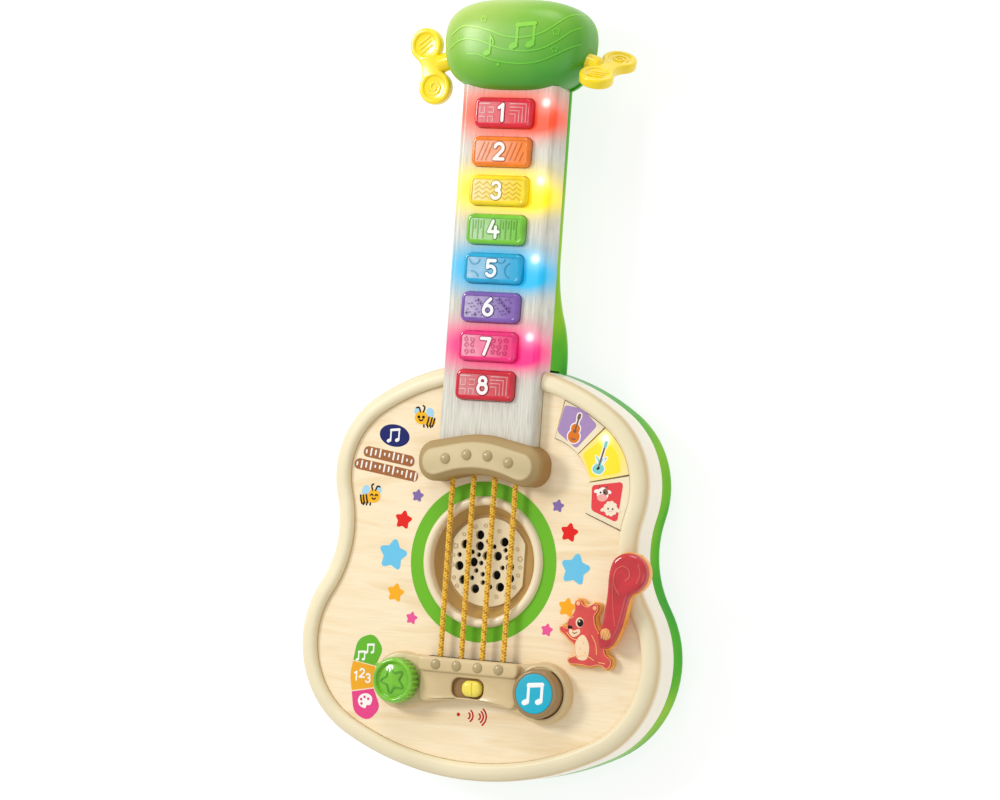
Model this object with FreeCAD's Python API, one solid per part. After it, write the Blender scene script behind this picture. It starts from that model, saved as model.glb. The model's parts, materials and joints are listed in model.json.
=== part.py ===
import FreeCAD, Part
import math
import os

# Toy electric guitar, lying on its flat back. Millimetres.
# +X is right seen from the front, +Y runs up the neck to the head, +Z comes out of the front.
# The origin is the middle of the length and width, on the surface that the back rests on.

# ---- driving dimensions: outline of the body ----
BODY_BOTTOM = -226.5
BODY_TOP = 15.5
UPPER_BOUT = (46.0, -53.0)
UPPER_BOUT_RADIUS = 54.0
LOWER_BOUT = (53.0, -152.0)
LOWER_BOUT_RADIUS = 61.5
WAIST_RADIUS = 62.5

# ---- driving dimensions: levels above the back ----
SEAM_Z = 20.0            # green rear shell meets the cream front housing
DECK_Z = 35.5            # underside of the housing's deck
FACE_Z = 41.0            # top of the wooden face panel
BEZEL_TOP_Z = 45.0
NECK_BACK_Z = 20.0
NECK_SEAM_Z = 33.4
NECK_TOP_Z = 50.5
NUT_TOP_Z = 59.5
STRING_Z = 47.0

# ---- driving dimensions: shells ----
WALL = 2.4
BACK_ROUND = 8.0
BEZEL_WIDTH = 10.5
PANEL_THICKNESS = 3.0
PANEL_GAP = 0.15
NECK_HALF_WIDTH = 30.5
NECK_ROUND = 12.0
NECK_COVER_END = -32.0
NECK_COVER_TOP = 176.0
NECK_GAP = 0.3
HEEL_START = 17.5
HEEL_END = 77.5

# ---- driving dimensions: head ----
HEAD_CENTRE = (0.0, 198.3, 38.6)
HEAD_HALF = (45.0, 28.2, 22.0)
HEAD_SQUARENESS = 2.8
HEAD_TAPER = 0.04
HEAD_LEVELS = (-1.0, -0.93, -0.78, -0.5, 0.0, 0.5, 0.78, 0.93, 1.0)
HEAD_EDGE_SHRINK = 0.42

# ---- driving dimensions: controls ----
BUTTON_COUNT = 8
BUTTON_X = -1.4
BUTTON_SIZE = (37.0, 17.5)
BUTTON_FIRST_Y = 159.5
BUTTON_PITCH = 22.53
BUTTON_TOP_Z = 54.3
BUTTON_FLANGE = 1.2
BUTTON_CLEAR = 0.3
LED_X = 23.5
LED_BUTTONS = (0, 2, 4, 6)
LED_RISE = 5.0

SOUND_HOLE = (0.0, -100.0)
SOUND_HOLE_RADIUS = 40.0
LIP_WIDTH = 5.9
LIP_HEIGHT = 2.8

KEY_CENTRE = (33.5, -56.5)
KEY_INNER_RADIUS = 31.5
KEY_OUTER_RADIUS = 58.0
KEY_ANGLES = (-20.5, 12.7, 45.5, 77.6)
KEY_GAP = 0.5
KEY_TOP_Z = 42.2
KEY_STEM_RADIUS = 4.2
KEY_STEM_OPENING = 5.0
CONTROL_OPENING = 6.0      # holes in the deck and the panel for the dial's and the music button's shafts

DIAL_CENTRE = (-45.0, -172.0)
DIAL_RADIUS = 13.5
DIAL_TOP_Z = 58.0
MUSIC_CENTRE = (45.0, -172.0)
MUSIC_RADIUS = 14.2
MUSIC_TOP_Z = 56.5
SLOT_CENTRE = (0.0, -173.0)
SLOT_SIZE = (20.4, 11.6)
SLIDER_SIZE = (13.0, 11.0)
SLIDER_OPENING = (8.0, 3.0)   # half the length and half the width
BRIDGE_TOP_Z = 53.0
BRIDGE_DECK_Z = 50.5
BRIDGE_END_Z = 48.0

LEVER_PIVOT = (86.2, -135.3)
LEVER_BOTTOM_Z = 47.4
LEVER_TOP_Z = 55.0
SQUIRREL_TOP_Z = 46.8
TAIL_BALL = (96.8, -99.5)
TAIL_BALL_RADIUS = 11.8

PEG_CENTRE = (56.5, 187.0, 39.7)
PEG_TILT = 17.0
PEG_LOBE_RADIUS = 10.0
PEG_LOBE_SPREAD = 13.0
PEG_WAIST = 5.5
PEG_THICKNESS = 6.0
PEG_HUB_RADIUS = 5.5
PEG_REST_TURN = -62.0    # the right peg is stored turned about its own axis

NUT_Y = -40.4
NUT_HALF = (39.5, 10.4)
NUT_ARCH = 60.0
NUT_CORNER = 10.6
NUT_CROWN = 4.6
NUT_END_DROP = 8.0
STRING_X = (-20.1, -6.7, 6.7, 20.1)
STRING_RADIUS = 1.25
STRING_ENDS = (-158.5, -47.5)

SHAFT_RADIUS = 3.0
RUNNING_FIT = 0.06

# ---- driving dimensions: inside ----
BODY_SCREWS = ((-38, -4), (38, -4), (-84, -98), (84, -98), (-88, -185), (88, -185), (0, -215))
NECK_SCREWS = ((-24.5, 137), (24.5, 137), (-24.5, 47), (24.5, 47))
HEAD_SCREWS = ((-20, 208), (20, 208))
BOSS_RADIUS = 3.5
SCREW_RADIUS = 1.4
SCREW_HEAD_RADIUS = 2.8
BATTERY_RADIUS = 7.2
BATTERY_LENGTH = 50.0
BATTERY_PITCH = 15.2
BATTERY_Y = (-201.0, -141.0)
BATTERY_HALF_WIDTH = 23.5
BATTERY_TOP_Z = 18.6
DOOR_THICKNESS = 2.0
BOARD_Z = 26.0
BOARD_THICKNESS = 1.6
NECK_BOARD_Z = 40.4

SEAM_OVERSHOOT = 5.0     # how far cutting shapes reach past the seam
PILOT_FIT = 0.05


# ---- helpers ----

def vector(x, y, z=0.0):
    return FreeCAD.Vector(x, y, z)


def box(low, high):
    size = [high[i] - low[i] for i in range(3)]
    return Part.makeBox(size[0], size[1], size[2], vector(*low))


def cylinder(centre, radius, z_low, z_high):
    return Part.makeCylinder(radius, z_high - z_low, vector(centre[0], centre[1], z_low))


def prism(wire, z_low, z_high):
    face = Part.Face(wire)
    face.translate(vector(0, 0, z_low))
    return face.extrude(vector(0, 0, z_high - z_low))


def fuse_all(shapes):
    result = shapes[0]
    if len(shapes) > 1:
        result = result.multiFuse(list(shapes[1:]))
    return result.removeSplitter()


def rounded_polygon(corners):
    """Closed wire at z = 0 through the corners (x, y, radius), lines joined by tangent arcs."""
    edges = []
    arcs = []
    for index, (x, y, radius) in enumerate(corners):
        corner = vector(x, y)
        before = vector(*corners[index - 1][:2])
        after = vector(*corners[(index + 1) % len(corners)][:2])
        to_before = (before - corner).normalize()
        to_after = (after - corner).normalize()
        half_angle = to_before.getAngle(to_after) / 2
        reach = radius / math.tan(half_angle)
        bisector = (to_before + to_after).normalize()
        middle = corner + bisector * (radius / math.sin(half_angle) - radius)
        arcs.append((corner + to_before * reach, middle, corner + to_after * reach))
    for index, (start, middle, end) in enumerate(arcs):
        edges.append(Part.Arc(start, middle, end).toShape())
        next_start = arcs[(index + 1) % len(arcs)][0]
        if end.distanceToPoint(next_start) > 0.001:
            edges.append(Part.LineSegment(end, next_start).toShape())
    return Part.Wire(Part.__sortEdges__(edges))


def rounded_rectangle(centre, size, radius):
    half_x = size[0] / 2
    half_y = size[1] / 2
    signs = ((-1, -1), (1, -1), (1, 1), (-1, 1))
    corners = [(centre[0] + sx * half_x, centre[1] + sy * half_y, radius) for sx, sy in signs]
    return rounded_polygon(corners)


def capsule(start, end, radius, z_low, z_high):
    """Straight bar with round ends, standing along Z."""
    along = (vector(*end) - vector(*start)).normalize() * radius
    side = vector(-along.y, along.x)
    first = vector(*start)
    last = vector(*end)
    edges = [
        Part.LineSegment(first - side, last - side).toShape(),
        Part.Arc(last - side, last + along, last + side).toShape(),
        Part.LineSegment(last + side, first + side).toShape(),
        Part.Arc(first + side, first - along, first - side).toShape(),
    ]
    return prism(Part.Wire(edges), z_low, z_high)


def edges_at(shape, z):
    return [edge for edge in shape.Edges
            if abs(edge.BoundBox.ZMin - z) < 0.01 and abs(edge.BoundBox.ZMax - z) < 0.01]


def round_level(shape, z, radius):
    return shape.makeFillet(radius, edges_at(shape, z))


def revolved(profile, centre):
    """Solid of revolution about Z through centre, from (radius, z) points."""
    points = [vector(radius, 0, z) for radius, z in profile]
    face = Part.Face(Part.makePolygon(points + points[:1]))
    solid = face.revolve(vector(0, 0, 0), vector(0, 0, 1), 360)
    solid.translate(vector(centre[0], centre[1], 0))
    return solid


def solid_of(shape):
    """The shape as one solid, or as a compound of its solids."""
    if len(shape.Solids) == 1:
        return shape.Solids[0]
    return Part.makeCompound(shape.Solids)


def save(name, shape):
    result = solid_of(shape)
    if not result.isValid():
        print("invalid shape", name)
    result.exportStep("parts/" + name + ".step")


def screw(head_top_z, length):
    """Pan-head screw at the origin, driven upwards, with a cross recess in its head."""
    head = Part.makeCylinder(SCREW_HEAD_RADIUS, 1.8, vector(0, 0, head_top_z))
    shank = Part.makeCylinder(SCREW_RADIUS, length, vector(0, 0, head_top_z + 1.8))
    recess = fuse_all([
        box((-1.7, -0.35, head_top_z), (1.7, 0.35, head_top_z + 1.0)),
        box((-0.35, -1.7, head_top_z), (0.35, 1.7, head_top_z + 1.0)),
    ])
    return fuse_all([head, shank]).cut(recess)


def spring_sleeve(centre, radius, wire, z_low, z_high):
    """A coil spring as the plain sleeve that its turns fill."""
    outer = cylinder(centre, radius + wire, z_low, z_high)
    return outer.cut(cylinder(centre, radius - wire, z_low - 1, z_high + 1))


# ---- outlines ----

def end_arc_centre(bout, bout_radius, end_y):
    """Height of the centre, on X = 0, of the arc that closes the body through (0, end_y)."""
    sign = 1 if end_y > bout[1] else -1
    reach = sign * end_y - bout_radius
    height = sign * bout[1]
    centre = (reach ** 2 - bout[0] ** 2 - height ** 2) / (2 * (reach - height))
    return sign * centre


def waist_centre():
    """Centre of the waist circle, which touches both bouts from outside on the right."""
    lower = vector(*LOWER_BOUT)
    upper = vector(*UPPER_BOUT)
    to_lower = LOWER_BOUT_RADIUS + WAIST_RADIUS
    to_upper = UPPER_BOUT_RADIUS + WAIST_RADIUS
    gap = upper - lower
    along = (to_lower ** 2 - to_upper ** 2 + gap.Length ** 2) / (2 * gap.Length)
    across = math.sqrt(to_lower ** 2 - along ** 2)
    direction = vector(gap.x, gap.y).normalize()
    return lower + direction * along + vector(direction.y, -direction.x) * across


def arc_about(centre, start, end):
    middle = ((start - centre).normalize() + (end - centre).normalize()).normalize()
    return Part.Arc(start, centre + middle * (start - centre).Length, end).toShape()


def mirrored(point):
    return vector(-point.x, point.y)


def guitar_outline(inset):
    """Closed wire of the body's outline, moved inwards by inset."""
    lower = vector(*LOWER_BOUT)
    upper = vector(*UPPER_BOUT)
    waist = waist_centre()
    top = vector(0, end_arc_centre(UPPER_BOUT, UPPER_BOUT_RADIUS, BODY_TOP))
    bottom = vector(0, end_arc_centre(LOWER_BOUT, LOWER_BOUT_RADIUS, BODY_BOTTOM))
    lower_radius = LOWER_BOUT_RADIUS - inset
    upper_radius = UPPER_BOUT_RADIUS - inset
    bottom_point = lower + (lower - bottom).normalize() * lower_radius
    low_waist = lower + (waist - lower).normalize() * lower_radius
    high_waist = upper + (waist - upper).normalize() * upper_radius
    top_point = upper + (upper - top).normalize() * upper_radius
    edges = [
        Part.Arc(mirrored(bottom_point), vector(0, BODY_BOTTOM + inset), bottom_point).toShape(),
        Part.Arc(mirrored(top_point), vector(0, BODY_TOP - inset), top_point).toShape(),
    ]
    for flip in (lambda point: point, mirrored):
        edges.append(arc_about(flip(lower), flip(bottom_point), flip(low_waist)))
        edges.append(arc_about(flip(waist), flip(low_waist), flip(high_waist)))
        edges.append(arc_about(flip(upper), flip(high_waist), flip(top_point)))
    return Part.Wire(Part.__sortEdges__(edges))


def head_section(level, shrink):
    """Closed smooth curve round the head at a level from -1 (back) to 1 (front)."""
    half = [size - shrink for size in HEAD_HALF]
    scale = 1 - HEAD_EDGE_SHRINK * abs(level) ** 4
    power = 2 / HEAD_SQUARENESS
    points = []
    for step in range(36):
        angle = math.radians(step * 10)
        across = math.copysign(abs(math.cos(angle)) ** power, math.cos(angle))
        along = math.copysign(abs(math.sin(angle)) ** power, math.sin(angle))
        x = half[0] * scale * across * (1 + HEAD_TAPER * along)
        y = half[1] * scale * along
        points.append(vector(HEAD_CENTRE[0] + x, HEAD_CENTRE[1] + y, HEAD_CENTRE[2] + half[2] * level))
    curve = Part.BSplineCurve()
    curve.interpolate(Points=points, PeriodicFlag=True)
    return Part.Wire(curve.toShape())


def head_solid(shrink):
    return Part.makeLoft([head_section(level, shrink) for level in HEAD_LEVELS], True, False)


def neck_profile(inset, low_y, high_y, top_z, step_z):
    """Side view of the neck: its back rises from the body's back through an S-shaped heel."""
    rise = NECK_BACK_Z
    run = HEEL_END - HEEL_START
    bend = (run ** 2 + rise ** 2) / (4 * rise)
    first = (HEEL_START, bend)
    second = (HEEL_END, rise - bend)
    sweep = math.asin(run / 2 / bend)
    inner = bend - inset
    outer = bend + inset

    def at(centre, radius, angle):
        return vector(0, centre[0] + radius * math.sin(angle), centre[1] + radius * math.cos(angle))

    flat = math.pi
    start = at(first, inner, flat)
    join = at(first, inner, flat - sweep)
    level = at(second, outer, 0.0)
    arc_1 = Part.Arc(start, at(first, inner, flat - sweep / 2), join).toShape()
    arc_2 = Part.Arc(join, at(second, outer, -sweep / 2), level).toShape()
    outline = [
        level,
        vector(0, high_y, level.z),
        vector(0, high_y, top_z),
        vector(0, BODY_TOP - WALL, top_z),
        vector(0, BODY_TOP - WALL, step_z),
        vector(0, low_y, step_z),
        vector(0, low_y, start.z),
        start,
    ]
    lines = [Part.LineSegment(a, b).toShape() for a, b in zip(outline, outline[1:])
             if a.distanceToPoint(b) > 0.001]
    return Part.Wire(Part.__sortEdges__([arc_1, arc_2] + lines))


def neck_solid(inset, low_y, high_y, top_z, step_z):
    half = NECK_HALF_WIDTH - inset
    face = Part.Face(neck_profile(inset, low_y, high_y, top_z, step_z))
    face.translate(vector(-half, 0, 0))
    solid = face.extrude(vector(2 * half, 0, 0))
    back_edges = []
    for edge in solid.Edges:
        bounds = edge.BoundBox
        along_side = bounds.XLength < 0.01 and bounds.YLength > 1.0
        on_back = bounds.ZMax < NECK_BACK_Z + inset + 0.01
        on_step = bounds.ZLength < 0.01 and bounds.YMax < HEEL_START - 1 and bounds.ZMin > inset + 0.01
        if along_side and on_back and not on_step:
            back_edges.append(edge)
    return solid.makeFillet(NECK_ROUND - inset, back_edges)


# ---- rear shell and what belongs to it ----

def battery_box():
    """Walls of the battery compartment, open to the back."""
    wall = 1.8
    outer = box((-BATTERY_HALF_WIDTH - wall, BATTERY_Y[0] - wall, WALL),
                (BATTERY_HALF_WIDTH + wall, BATTERY_Y[1] + wall, BATTERY_TOP_Z + wall))
    inner = box((-BATTERY_HALF_WIDTH, BATTERY_Y[0], 0),
                (BATTERY_HALF_WIDTH, BATTERY_Y[1], BATTERY_TOP_Z))
    return outer, inner


def door_outline(grow):
    centre = (0.0, (BATTERY_Y[0] + BATTERY_Y[1]) / 2)
    size = (2 * BATTERY_HALF_WIDTH + 5.0 + 2 * grow, BATTERY_Y[1] - BATTERY_Y[0] + 16.0 + 2 * grow)
    return rounded_rectangle(centre, size, 5.0)


def door_screw_places():
    return ((0.0, BATTERY_Y[0] - 5.0), (0.0, BATTERY_Y[1] + 5.0))


def rear_shell():
    body = round_level(prism(guitar_outline(0), 0, SEAM_Z), 0, BACK_ROUND)
    neck = neck_solid(0, -30, 186, NECK_SEAM_Z, SEAM_Z)
    below_seam = box((-80, 150, 0), (80, 240, NECK_SEAM_Z))
    head = head_solid(0).common(below_seam)
    outer = body.fuse(neck).fuse(head)

    hollow_body = round_level(prism(guitar_outline(WALL), WALL, SEAM_Z + SEAM_OVERSHOOT), WALL, BACK_ROUND - WALL)
    hollow_neck = neck_solid(WALL, -40, 190, NECK_SEAM_Z + SEAM_OVERSHOOT, SEAM_Z + 2 * SEAM_OVERSHOOT)
    hollow_head = head_solid(WALL)
    shell = outer.cut(hollow_body).cut(hollow_neck).cut(hollow_head)

    inside_body = prism(guitar_outline(WALL / 2), WALL / 2, SEAM_Z)
    bosses = [cylinder(place, BOSS_RADIUS, WALL / 2, SEAM_Z) for place in BODY_SCREWS]
    compartment, cells = battery_box()
    door_bosses = [cylinder(place, BOSS_RADIUS, WALL, 12.0) for place in door_screw_places()]
    body_inside = fuse_all(bosses + [compartment] + door_bosses).common(inside_body)

    inside_neck = neck_solid(WALL / 2, -30, 188, NECK_SEAM_Z, SEAM_Z)
    neck_bosses = [cylinder(place, BOSS_RADIUS, NECK_BACK_Z, NECK_SEAM_Z) for place in NECK_SCREWS]
    ribs = [box((-24, y - 1, NECK_BACK_Z + WALL / 2), (24, y + 1, NECK_SEAM_Z)) for y in (92, 120)]
    neck_inside = fuse_all(neck_bosses + ribs).common(inside_neck)
    head_bosses = [cylinder(place, BOSS_RADIUS, HEAD_CENTRE[2] - HEAD_HALF[2] + WALL / 2, NECK_SEAM_Z)
                   for place in HEAD_SCREWS]
    shell = shell.fuse(body_inside).fuse(neck_inside).fuse(fuse_all(head_bosses))

    shell = shell.cut(cells).cut(prism(door_outline(0.3), -1, WALL))
    for place, floor_z in screw_places():
        shell = shell.cut(cylinder(place, SCREW_HEAD_RADIUS + 0.4, -1, floor_z + 8.0))
        shell = shell.cut(cylinder(place, SCREW_RADIUS + 0.2, -1, NECK_SEAM_Z + 1))
    for place in door_screw_places():
        shell = shell.cut(cylinder(place, SCREW_RADIUS + PILOT_FIT, WALL - 1, 10.5))
    return shell.removeSplitter()


def screw_places():
    """Every rear screw with the height of the back surface below it."""
    places = [(place, 0.0) for place in BODY_SCREWS]
    places += [(place, NECK_BACK_Z) for place in NECK_SCREWS]
    places += [(place, HEAD_CENTRE[2] - HEAD_HALF[2]) for place in HEAD_SCREWS]
    return places


def rear_screws():
    screws = []
    for place, floor_z in screw_places():
        item = screw(floor_z + 6.2, 14.0 if floor_z < 1 else 9.0)
        item.translate(vector(*place))
        screws.append(item)
    return Part.makeCompound(screws)


def battery_door():
    plate = prism(door_outline(0), 0.2, 0.2 + DOOR_THICKNESS)
    for place in door_screw_places():
        plate = plate.cut(cylinder(place, SCREW_RADIUS + 0.1, -1, 4))
        plate = plate.cut(cylinder(place, SCREW_HEAD_RADIUS + 0.2, -1, 1.2))
    ribs = [box((x - 0.6, BATTERY_Y[0] + 4, 0.2), (x + 0.6, BATTERY_Y[0] + 14, 0.7)) for x in range(-9, 10, 3)]
    return plate.cut(fuse_all(ribs))


def door_screws():
    screws = []
    for place in door_screw_places():
        head = cylinder(place, SCREW_HEAD_RADIUS, 0.3, 1.2)
        shank = cylinder(place, SCREW_RADIUS, 1.2, 9.0)
        slot = box((place[0] - 2, place[1] - 0.4, 0.3), (place[0] + 2, place[1] + 0.4, 0.8))
        screws.append(fuse_all([head, shank]).cut(slot))
    return Part.makeCompound(screws)


def battery_rows():
    return [index * BATTERY_PITCH for index in (-1, 0, 1)]


def battery_cells():
    middle = (BATTERY_Y[0] + BATTERY_Y[1]) / 2
    axis_z = BATTERY_TOP_Z - BATTERY_RADIUS - 0.4
    cells = []
    for index, x in enumerate(battery_rows()):
        low_y = middle - BATTERY_LENGTH / 2
        can = Part.makeCylinder(BATTERY_RADIUS, BATTERY_LENGTH - 1.4, vector(x, low_y, axis_z), vector(0, 1, 0))
        tip = Part.makeCylinder(2.6, 1.6, vector(x, low_y + BATTERY_LENGTH - 1.6, axis_z), vector(0, 1, 0))
        cell = fuse_all([can, tip])
        if index == 1:
            cell.rotate(vector(x, middle, axis_z), vector(0, 0, 1), 180)
        cells.append(cell)
    return Part.makeCompound(cells)


def battery_contacts():
    axis_z = BATTERY_TOP_Z - BATTERY_RADIUS - 0.4
    plates = []
    for x in battery_rows():
        for y, side in ((BATTERY_Y[0] + 0.2, 1), (BATTERY_Y[1] - 0.2, -1)):
            low = min(y, y + side * 0.6)
            plate = box((x - 5, low, axis_z - 5), (x + 5, low + 0.6, axis_z + 5))
            bump = Part.makeCone(3.4, 1.6, 3.8, vector(x, y + side * 0.6, axis_z), vector(0, side, 0))
            plates.append(fuse_all([plate, bump]))
    return Part.makeCompound(plates)


# ---- front housing and face ----

def neck_slot(grow, low_z, high_z):
    return box((-NECK_HALF_WIDTH - grow, NECK_COVER_END - grow, low_z),
               (NECK_HALF_WIDTH + grow, BODY_TOP + 10, high_z))


def key_sector(inner, outer, start, end, z_low, z_high):
    """Ring sector about the mode keys' common centre, with angles in degrees."""
    ring = cylinder(KEY_CENTRE, outer, z_low, z_high).cut(cylinder(KEY_CENTRE, inner, z_low - 1, z_high + 1))
    reach = 2 * outer
    corners = [vector(*KEY_CENTRE)]
    for step in range(5):
        angle = math.radians(start + (end - start) * step / 4)
        corners.append(vector(KEY_CENTRE[0] + reach * math.cos(angle), KEY_CENTRE[1] + reach * math.sin(angle)))
    wedge = prism(Part.makePolygon(corners + corners[:1]), z_low - 1, z_high + 1)
    return ring.common(wedge)


def key_window(z_low, z_high):
    return key_sector(KEY_INNER_RADIUS - KEY_GAP, KEY_OUTER_RADIUS, KEY_ANGLES[0] - 0.7, KEY_ANGLES[-1] + 0.7,
                      z_low, z_high)


def key_stem_places():
    places = []
    radius = (KEY_INNER_RADIUS + 54.0) / 2
    for low, high in zip(KEY_ANGLES, KEY_ANGLES[1:]):
        angle = math.radians((low + high) / 2)
        places.append((KEY_CENTRE[0] + radius * math.cos(angle), KEY_CENTRE[1] + radius * math.sin(angle)))
    return places


def slider_opening(z_low, z_high):
    return box((SLOT_CENTRE[0] - SLIDER_OPENING[0], SLOT_CENTRE[1] - SLIDER_OPENING[1], z_low),
               (SLOT_CENTRE[0] + SLIDER_OPENING[0], SLOT_CENTRE[1] + SLIDER_OPENING[1], z_high))


def front_housing():
    block = prism(guitar_outline(0), SEAM_Z, BEZEL_TOP_Z)
    block = round_level(block, BEZEL_TOP_Z, 6.4)
    recess = prism(guitar_outline(BEZEL_WIDTH), FACE_Z - PANEL_THICKNESS, BEZEL_TOP_Z + 5)
    block = block.cut(recess)
    inner_rim = [edge for edge in edges_at(block, BEZEL_TOP_Z)
                 if edge.distToShape(recess)[0] < 0.01]
    block = block.makeFillet(3.2, inner_rim)
    block = block.cut(prism(guitar_outline(WALL + 0.2), SEAM_Z - 1, DECK_Z))
    bosses = [cylinder(place, BOSS_RADIUS, SEAM_Z, DECK_Z + 0.5) for place in BODY_SCREWS]
    pivot_boss = cylinder(LEVER_PIVOT, 5.5, DECK_Z - 5, DECK_Z + 0.5)
    block = block.fuse(fuse_all(bosses + [pivot_boss]))
    for place in BODY_SCREWS:
        block = block.cut(cylinder(place, SCREW_RADIUS + PILOT_FIT, SEAM_Z - 1, DECK_Z - 1))
    block = block.cut(neck_slot(NECK_GAP, SEAM_Z - 1, BEZEL_TOP_Z + 5))
    openings = [
        cylinder(SOUND_HOLE, 37.3, DECK_Z - 1, FACE_Z),
        cylinder(DIAL_CENTRE, CONTROL_OPENING, DECK_Z - 1, FACE_Z),
        cylinder(MUSIC_CENTRE, CONTROL_OPENING, DECK_Z - 1, FACE_Z),
        cylinder(LEVER_PIVOT, SHAFT_RADIUS + RUNNING_FIT, DECK_Z - 10, FACE_Z),
        slider_opening(DECK_Z - 1, FACE_Z),
    ]
    openings += [cylinder(place, KEY_STEM_OPENING, DECK_Z - 1, FACE_Z) for place in key_stem_places()]
    return block.cut(fuse_all(openings)).removeSplitter()


def face_panel():
    panel = prism(guitar_outline(BEZEL_WIDTH + PANEL_GAP), FACE_Z - PANEL_THICKNESS, FACE_Z)
    low_z = FACE_Z - PANEL_THICKNESS - 1
    high_z = FACE_Z + 1
    openings = [
        neck_slot(NECK_GAP, low_z, high_z),
        cylinder(SOUND_HOLE, SOUND_HOLE_RADIUS, low_z, high_z),
        key_window(low_z, high_z),
        cylinder(DIAL_CENTRE, CONTROL_OPENING, low_z, high_z),
        cylinder(MUSIC_CENTRE, CONTROL_OPENING, low_z, high_z),
        cylinder(LEVER_PIVOT, SHAFT_RADIUS + 0.5, low_z, high_z),
        slider_opening(low_z, high_z),
    ]
    for opening in openings:
        panel = panel.cut(opening)
    return panel


def soundhole_lip():
    """Ring set into the panel, with a broad rounded rim over the cup's edge."""
    outer = SOUND_HOLE_RADIUS - 0.1
    socket = SOUND_HOLE_RADIUS - 2.9
    rim = outer - LIP_WIDTH
    low_z = FACE_Z - PANEL_THICKNESS
    rim_z = FACE_Z + 0.3
    top_z = FACE_Z + LIP_HEIGHT
    ring = cylinder(SOUND_HOLE, outer, low_z, top_z)
    ring = ring.cut(cylinder(SOUND_HOLE, socket, low_z - 1, rim_z))
    ring = ring.cut(cylinder(SOUND_HOLE, rim, low_z - 1, top_z + 1))
    return round_level(ring, top_z, 1.6)


def soundhole_cup():
    profile = [(35.6, 41.2), (37.0, 41.2), (37.0, 35.4), (43.0, 35.4), (43.0, 33.2), (34.0, 33.2),
               (30.5, 29.8), (25.5, 29.8), (25.5, 31.6), (28.0, 31.6), (28.0, 33.2)]
    return revolved(profile, SOUND_HOLE)


def speaker_grille():
    plate = cylinder(SOUND_HOLE, 27.8, 31.7, 33.2)
    raised = cylinder(SOUND_HOLE, 25.8, 33.2, 34.4)
    sides = box((SOUND_HOLE[0] - 22.8, SOUND_HOLE[1] - 30, 33), (SOUND_HOLE[0] + 22.8, SOUND_HOLE[1] + 30, 35))
    plate = plate.fuse(raised.common(sides))
    holes = []
    for index in range(34):
        angle = index * math.radians(137.5)
        radius = 3.3 * math.sqrt(index + 0.5)
        place = (SOUND_HOLE[0] + radius * math.cos(angle), SOUND_HOLE[1] + radius * math.sin(angle))
        holes.append(cylinder(place, 2.2 if index % 3 == 0 else 1.1, 31, 35))
    return plate.cut(Part.makeCompound(holes))


def speaker():
    frame = revolved([(27.0, 29.6), (27.0, 28.2), (24.0, 28.2), (14.5, 19.0), (14.5, 17.6), (3.0, 17.6),
                      (3.0, 19.0), (13.0, 19.0), (23.0, 28.9), (23.0, 29.6)], SOUND_HOLE)
    magnet = revolved([(0, 17.5), (15.5, 17.5), (15.5, 10.5), (0, 10.5)], SOUND_HOLE)
    cone = revolved([(0, 21.0), (6.0, 22.5), (22.0, 28.6), (22.0, 28.0), (6.0, 21.8), (5.8, 19.4), (0, 19.4)],
                    SOUND_HOLE)
    return frame, magnet, cone


# ---- neck ----

def button_places():
    return [(BUTTON_X, BUTTON_FIRST_Y - BUTTON_PITCH * index) for index in range(BUTTON_COUNT)]


def neck_cover():
    outer = box((-NECK_HALF_WIDTH, NECK_COVER_END, NECK_SEAM_Z), (NECK_HALF_WIDTH, NECK_COVER_TOP, NECK_TOP_Z))
    long_edges = [edge for edge in edges_at(outer, NECK_TOP_Z) if edge.BoundBox.YLength > 50]
    outer = outer.makeFillet(4.0, long_edges)
    half = NECK_HALF_WIDTH - 2.2
    inner = box((-half, NECK_COVER_END + 2.2, NECK_SEAM_Z - 1), (half, NECK_COVER_TOP + 1, NECK_TOP_Z - 2.2))
    cover = outer.cut(inner)
    bosses = [cylinder(place, BOSS_RADIUS, NECK_SEAM_Z, NECK_TOP_Z - 2.0) for place in NECK_SCREWS]
    cover = cover.fuse(fuse_all(bosses).common(outer))
    for place in NECK_SCREWS:
        cover = cover.cut(cylinder(place, SCREW_RADIUS + PILOT_FIT, NECK_SEAM_Z - 1, NECK_TOP_Z - 3.5))
    size = [length + 2 * BUTTON_CLEAR for length in BUTTON_SIZE]
    for place in button_places():
        cover = cover.cut(prism(rounded_rectangle(place, size, 4.0), NECK_TOP_Z - 4, NECK_TOP_Z + 1))
    return cover.removeSplitter()


def number_button(place):
    low_z = NECK_TOP_Z - 4.3
    cap = prism(rounded_rectangle(place, BUTTON_SIZE, 3.8), low_z, BUTTON_TOP_Z)
    cap = round_level(cap, BUTTON_TOP_Z, 1.6)
    flange_size = [length + 2 * BUTTON_FLANGE for length in BUTTON_SIZE]
    flange = prism(rounded_rectangle(place, flange_size, 4.5), low_z, NECK_TOP_Z - 2.4)
    for screw in NECK_SCREWS:
        flange = flange.cut(cylinder(screw, BOSS_RADIUS + 0.4, low_z - 1, NECK_TOP_Z))
    plunger = cylinder(place, 3.5, low_z, BUTTON_TOP_Z - 1)
    room = [length - 3.6 for length in BUTTON_SIZE]
    hollow = prism(rounded_rectangle(place, room, 2.2), low_z - 1, BUTTON_TOP_Z - 1.8)
    return fuse_all([fuse_all([cap, flange]).cut(hollow), plunger])


def neck_keypad():
    sheet = box((-19, -8, NECK_BOARD_Z + BOARD_THICKNESS), (19, 169, NECK_BOARD_Z + BOARD_THICKNESS + 1.0))
    domes = [cylinder(place, 4.5, NECK_BOARD_Z + BOARD_THICKNESS + 0.5, NECK_BOARD_Z + BOARD_THICKNESS + 2.3)
             for place in button_places()]
    return fuse_all([sheet] + domes)


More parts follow.
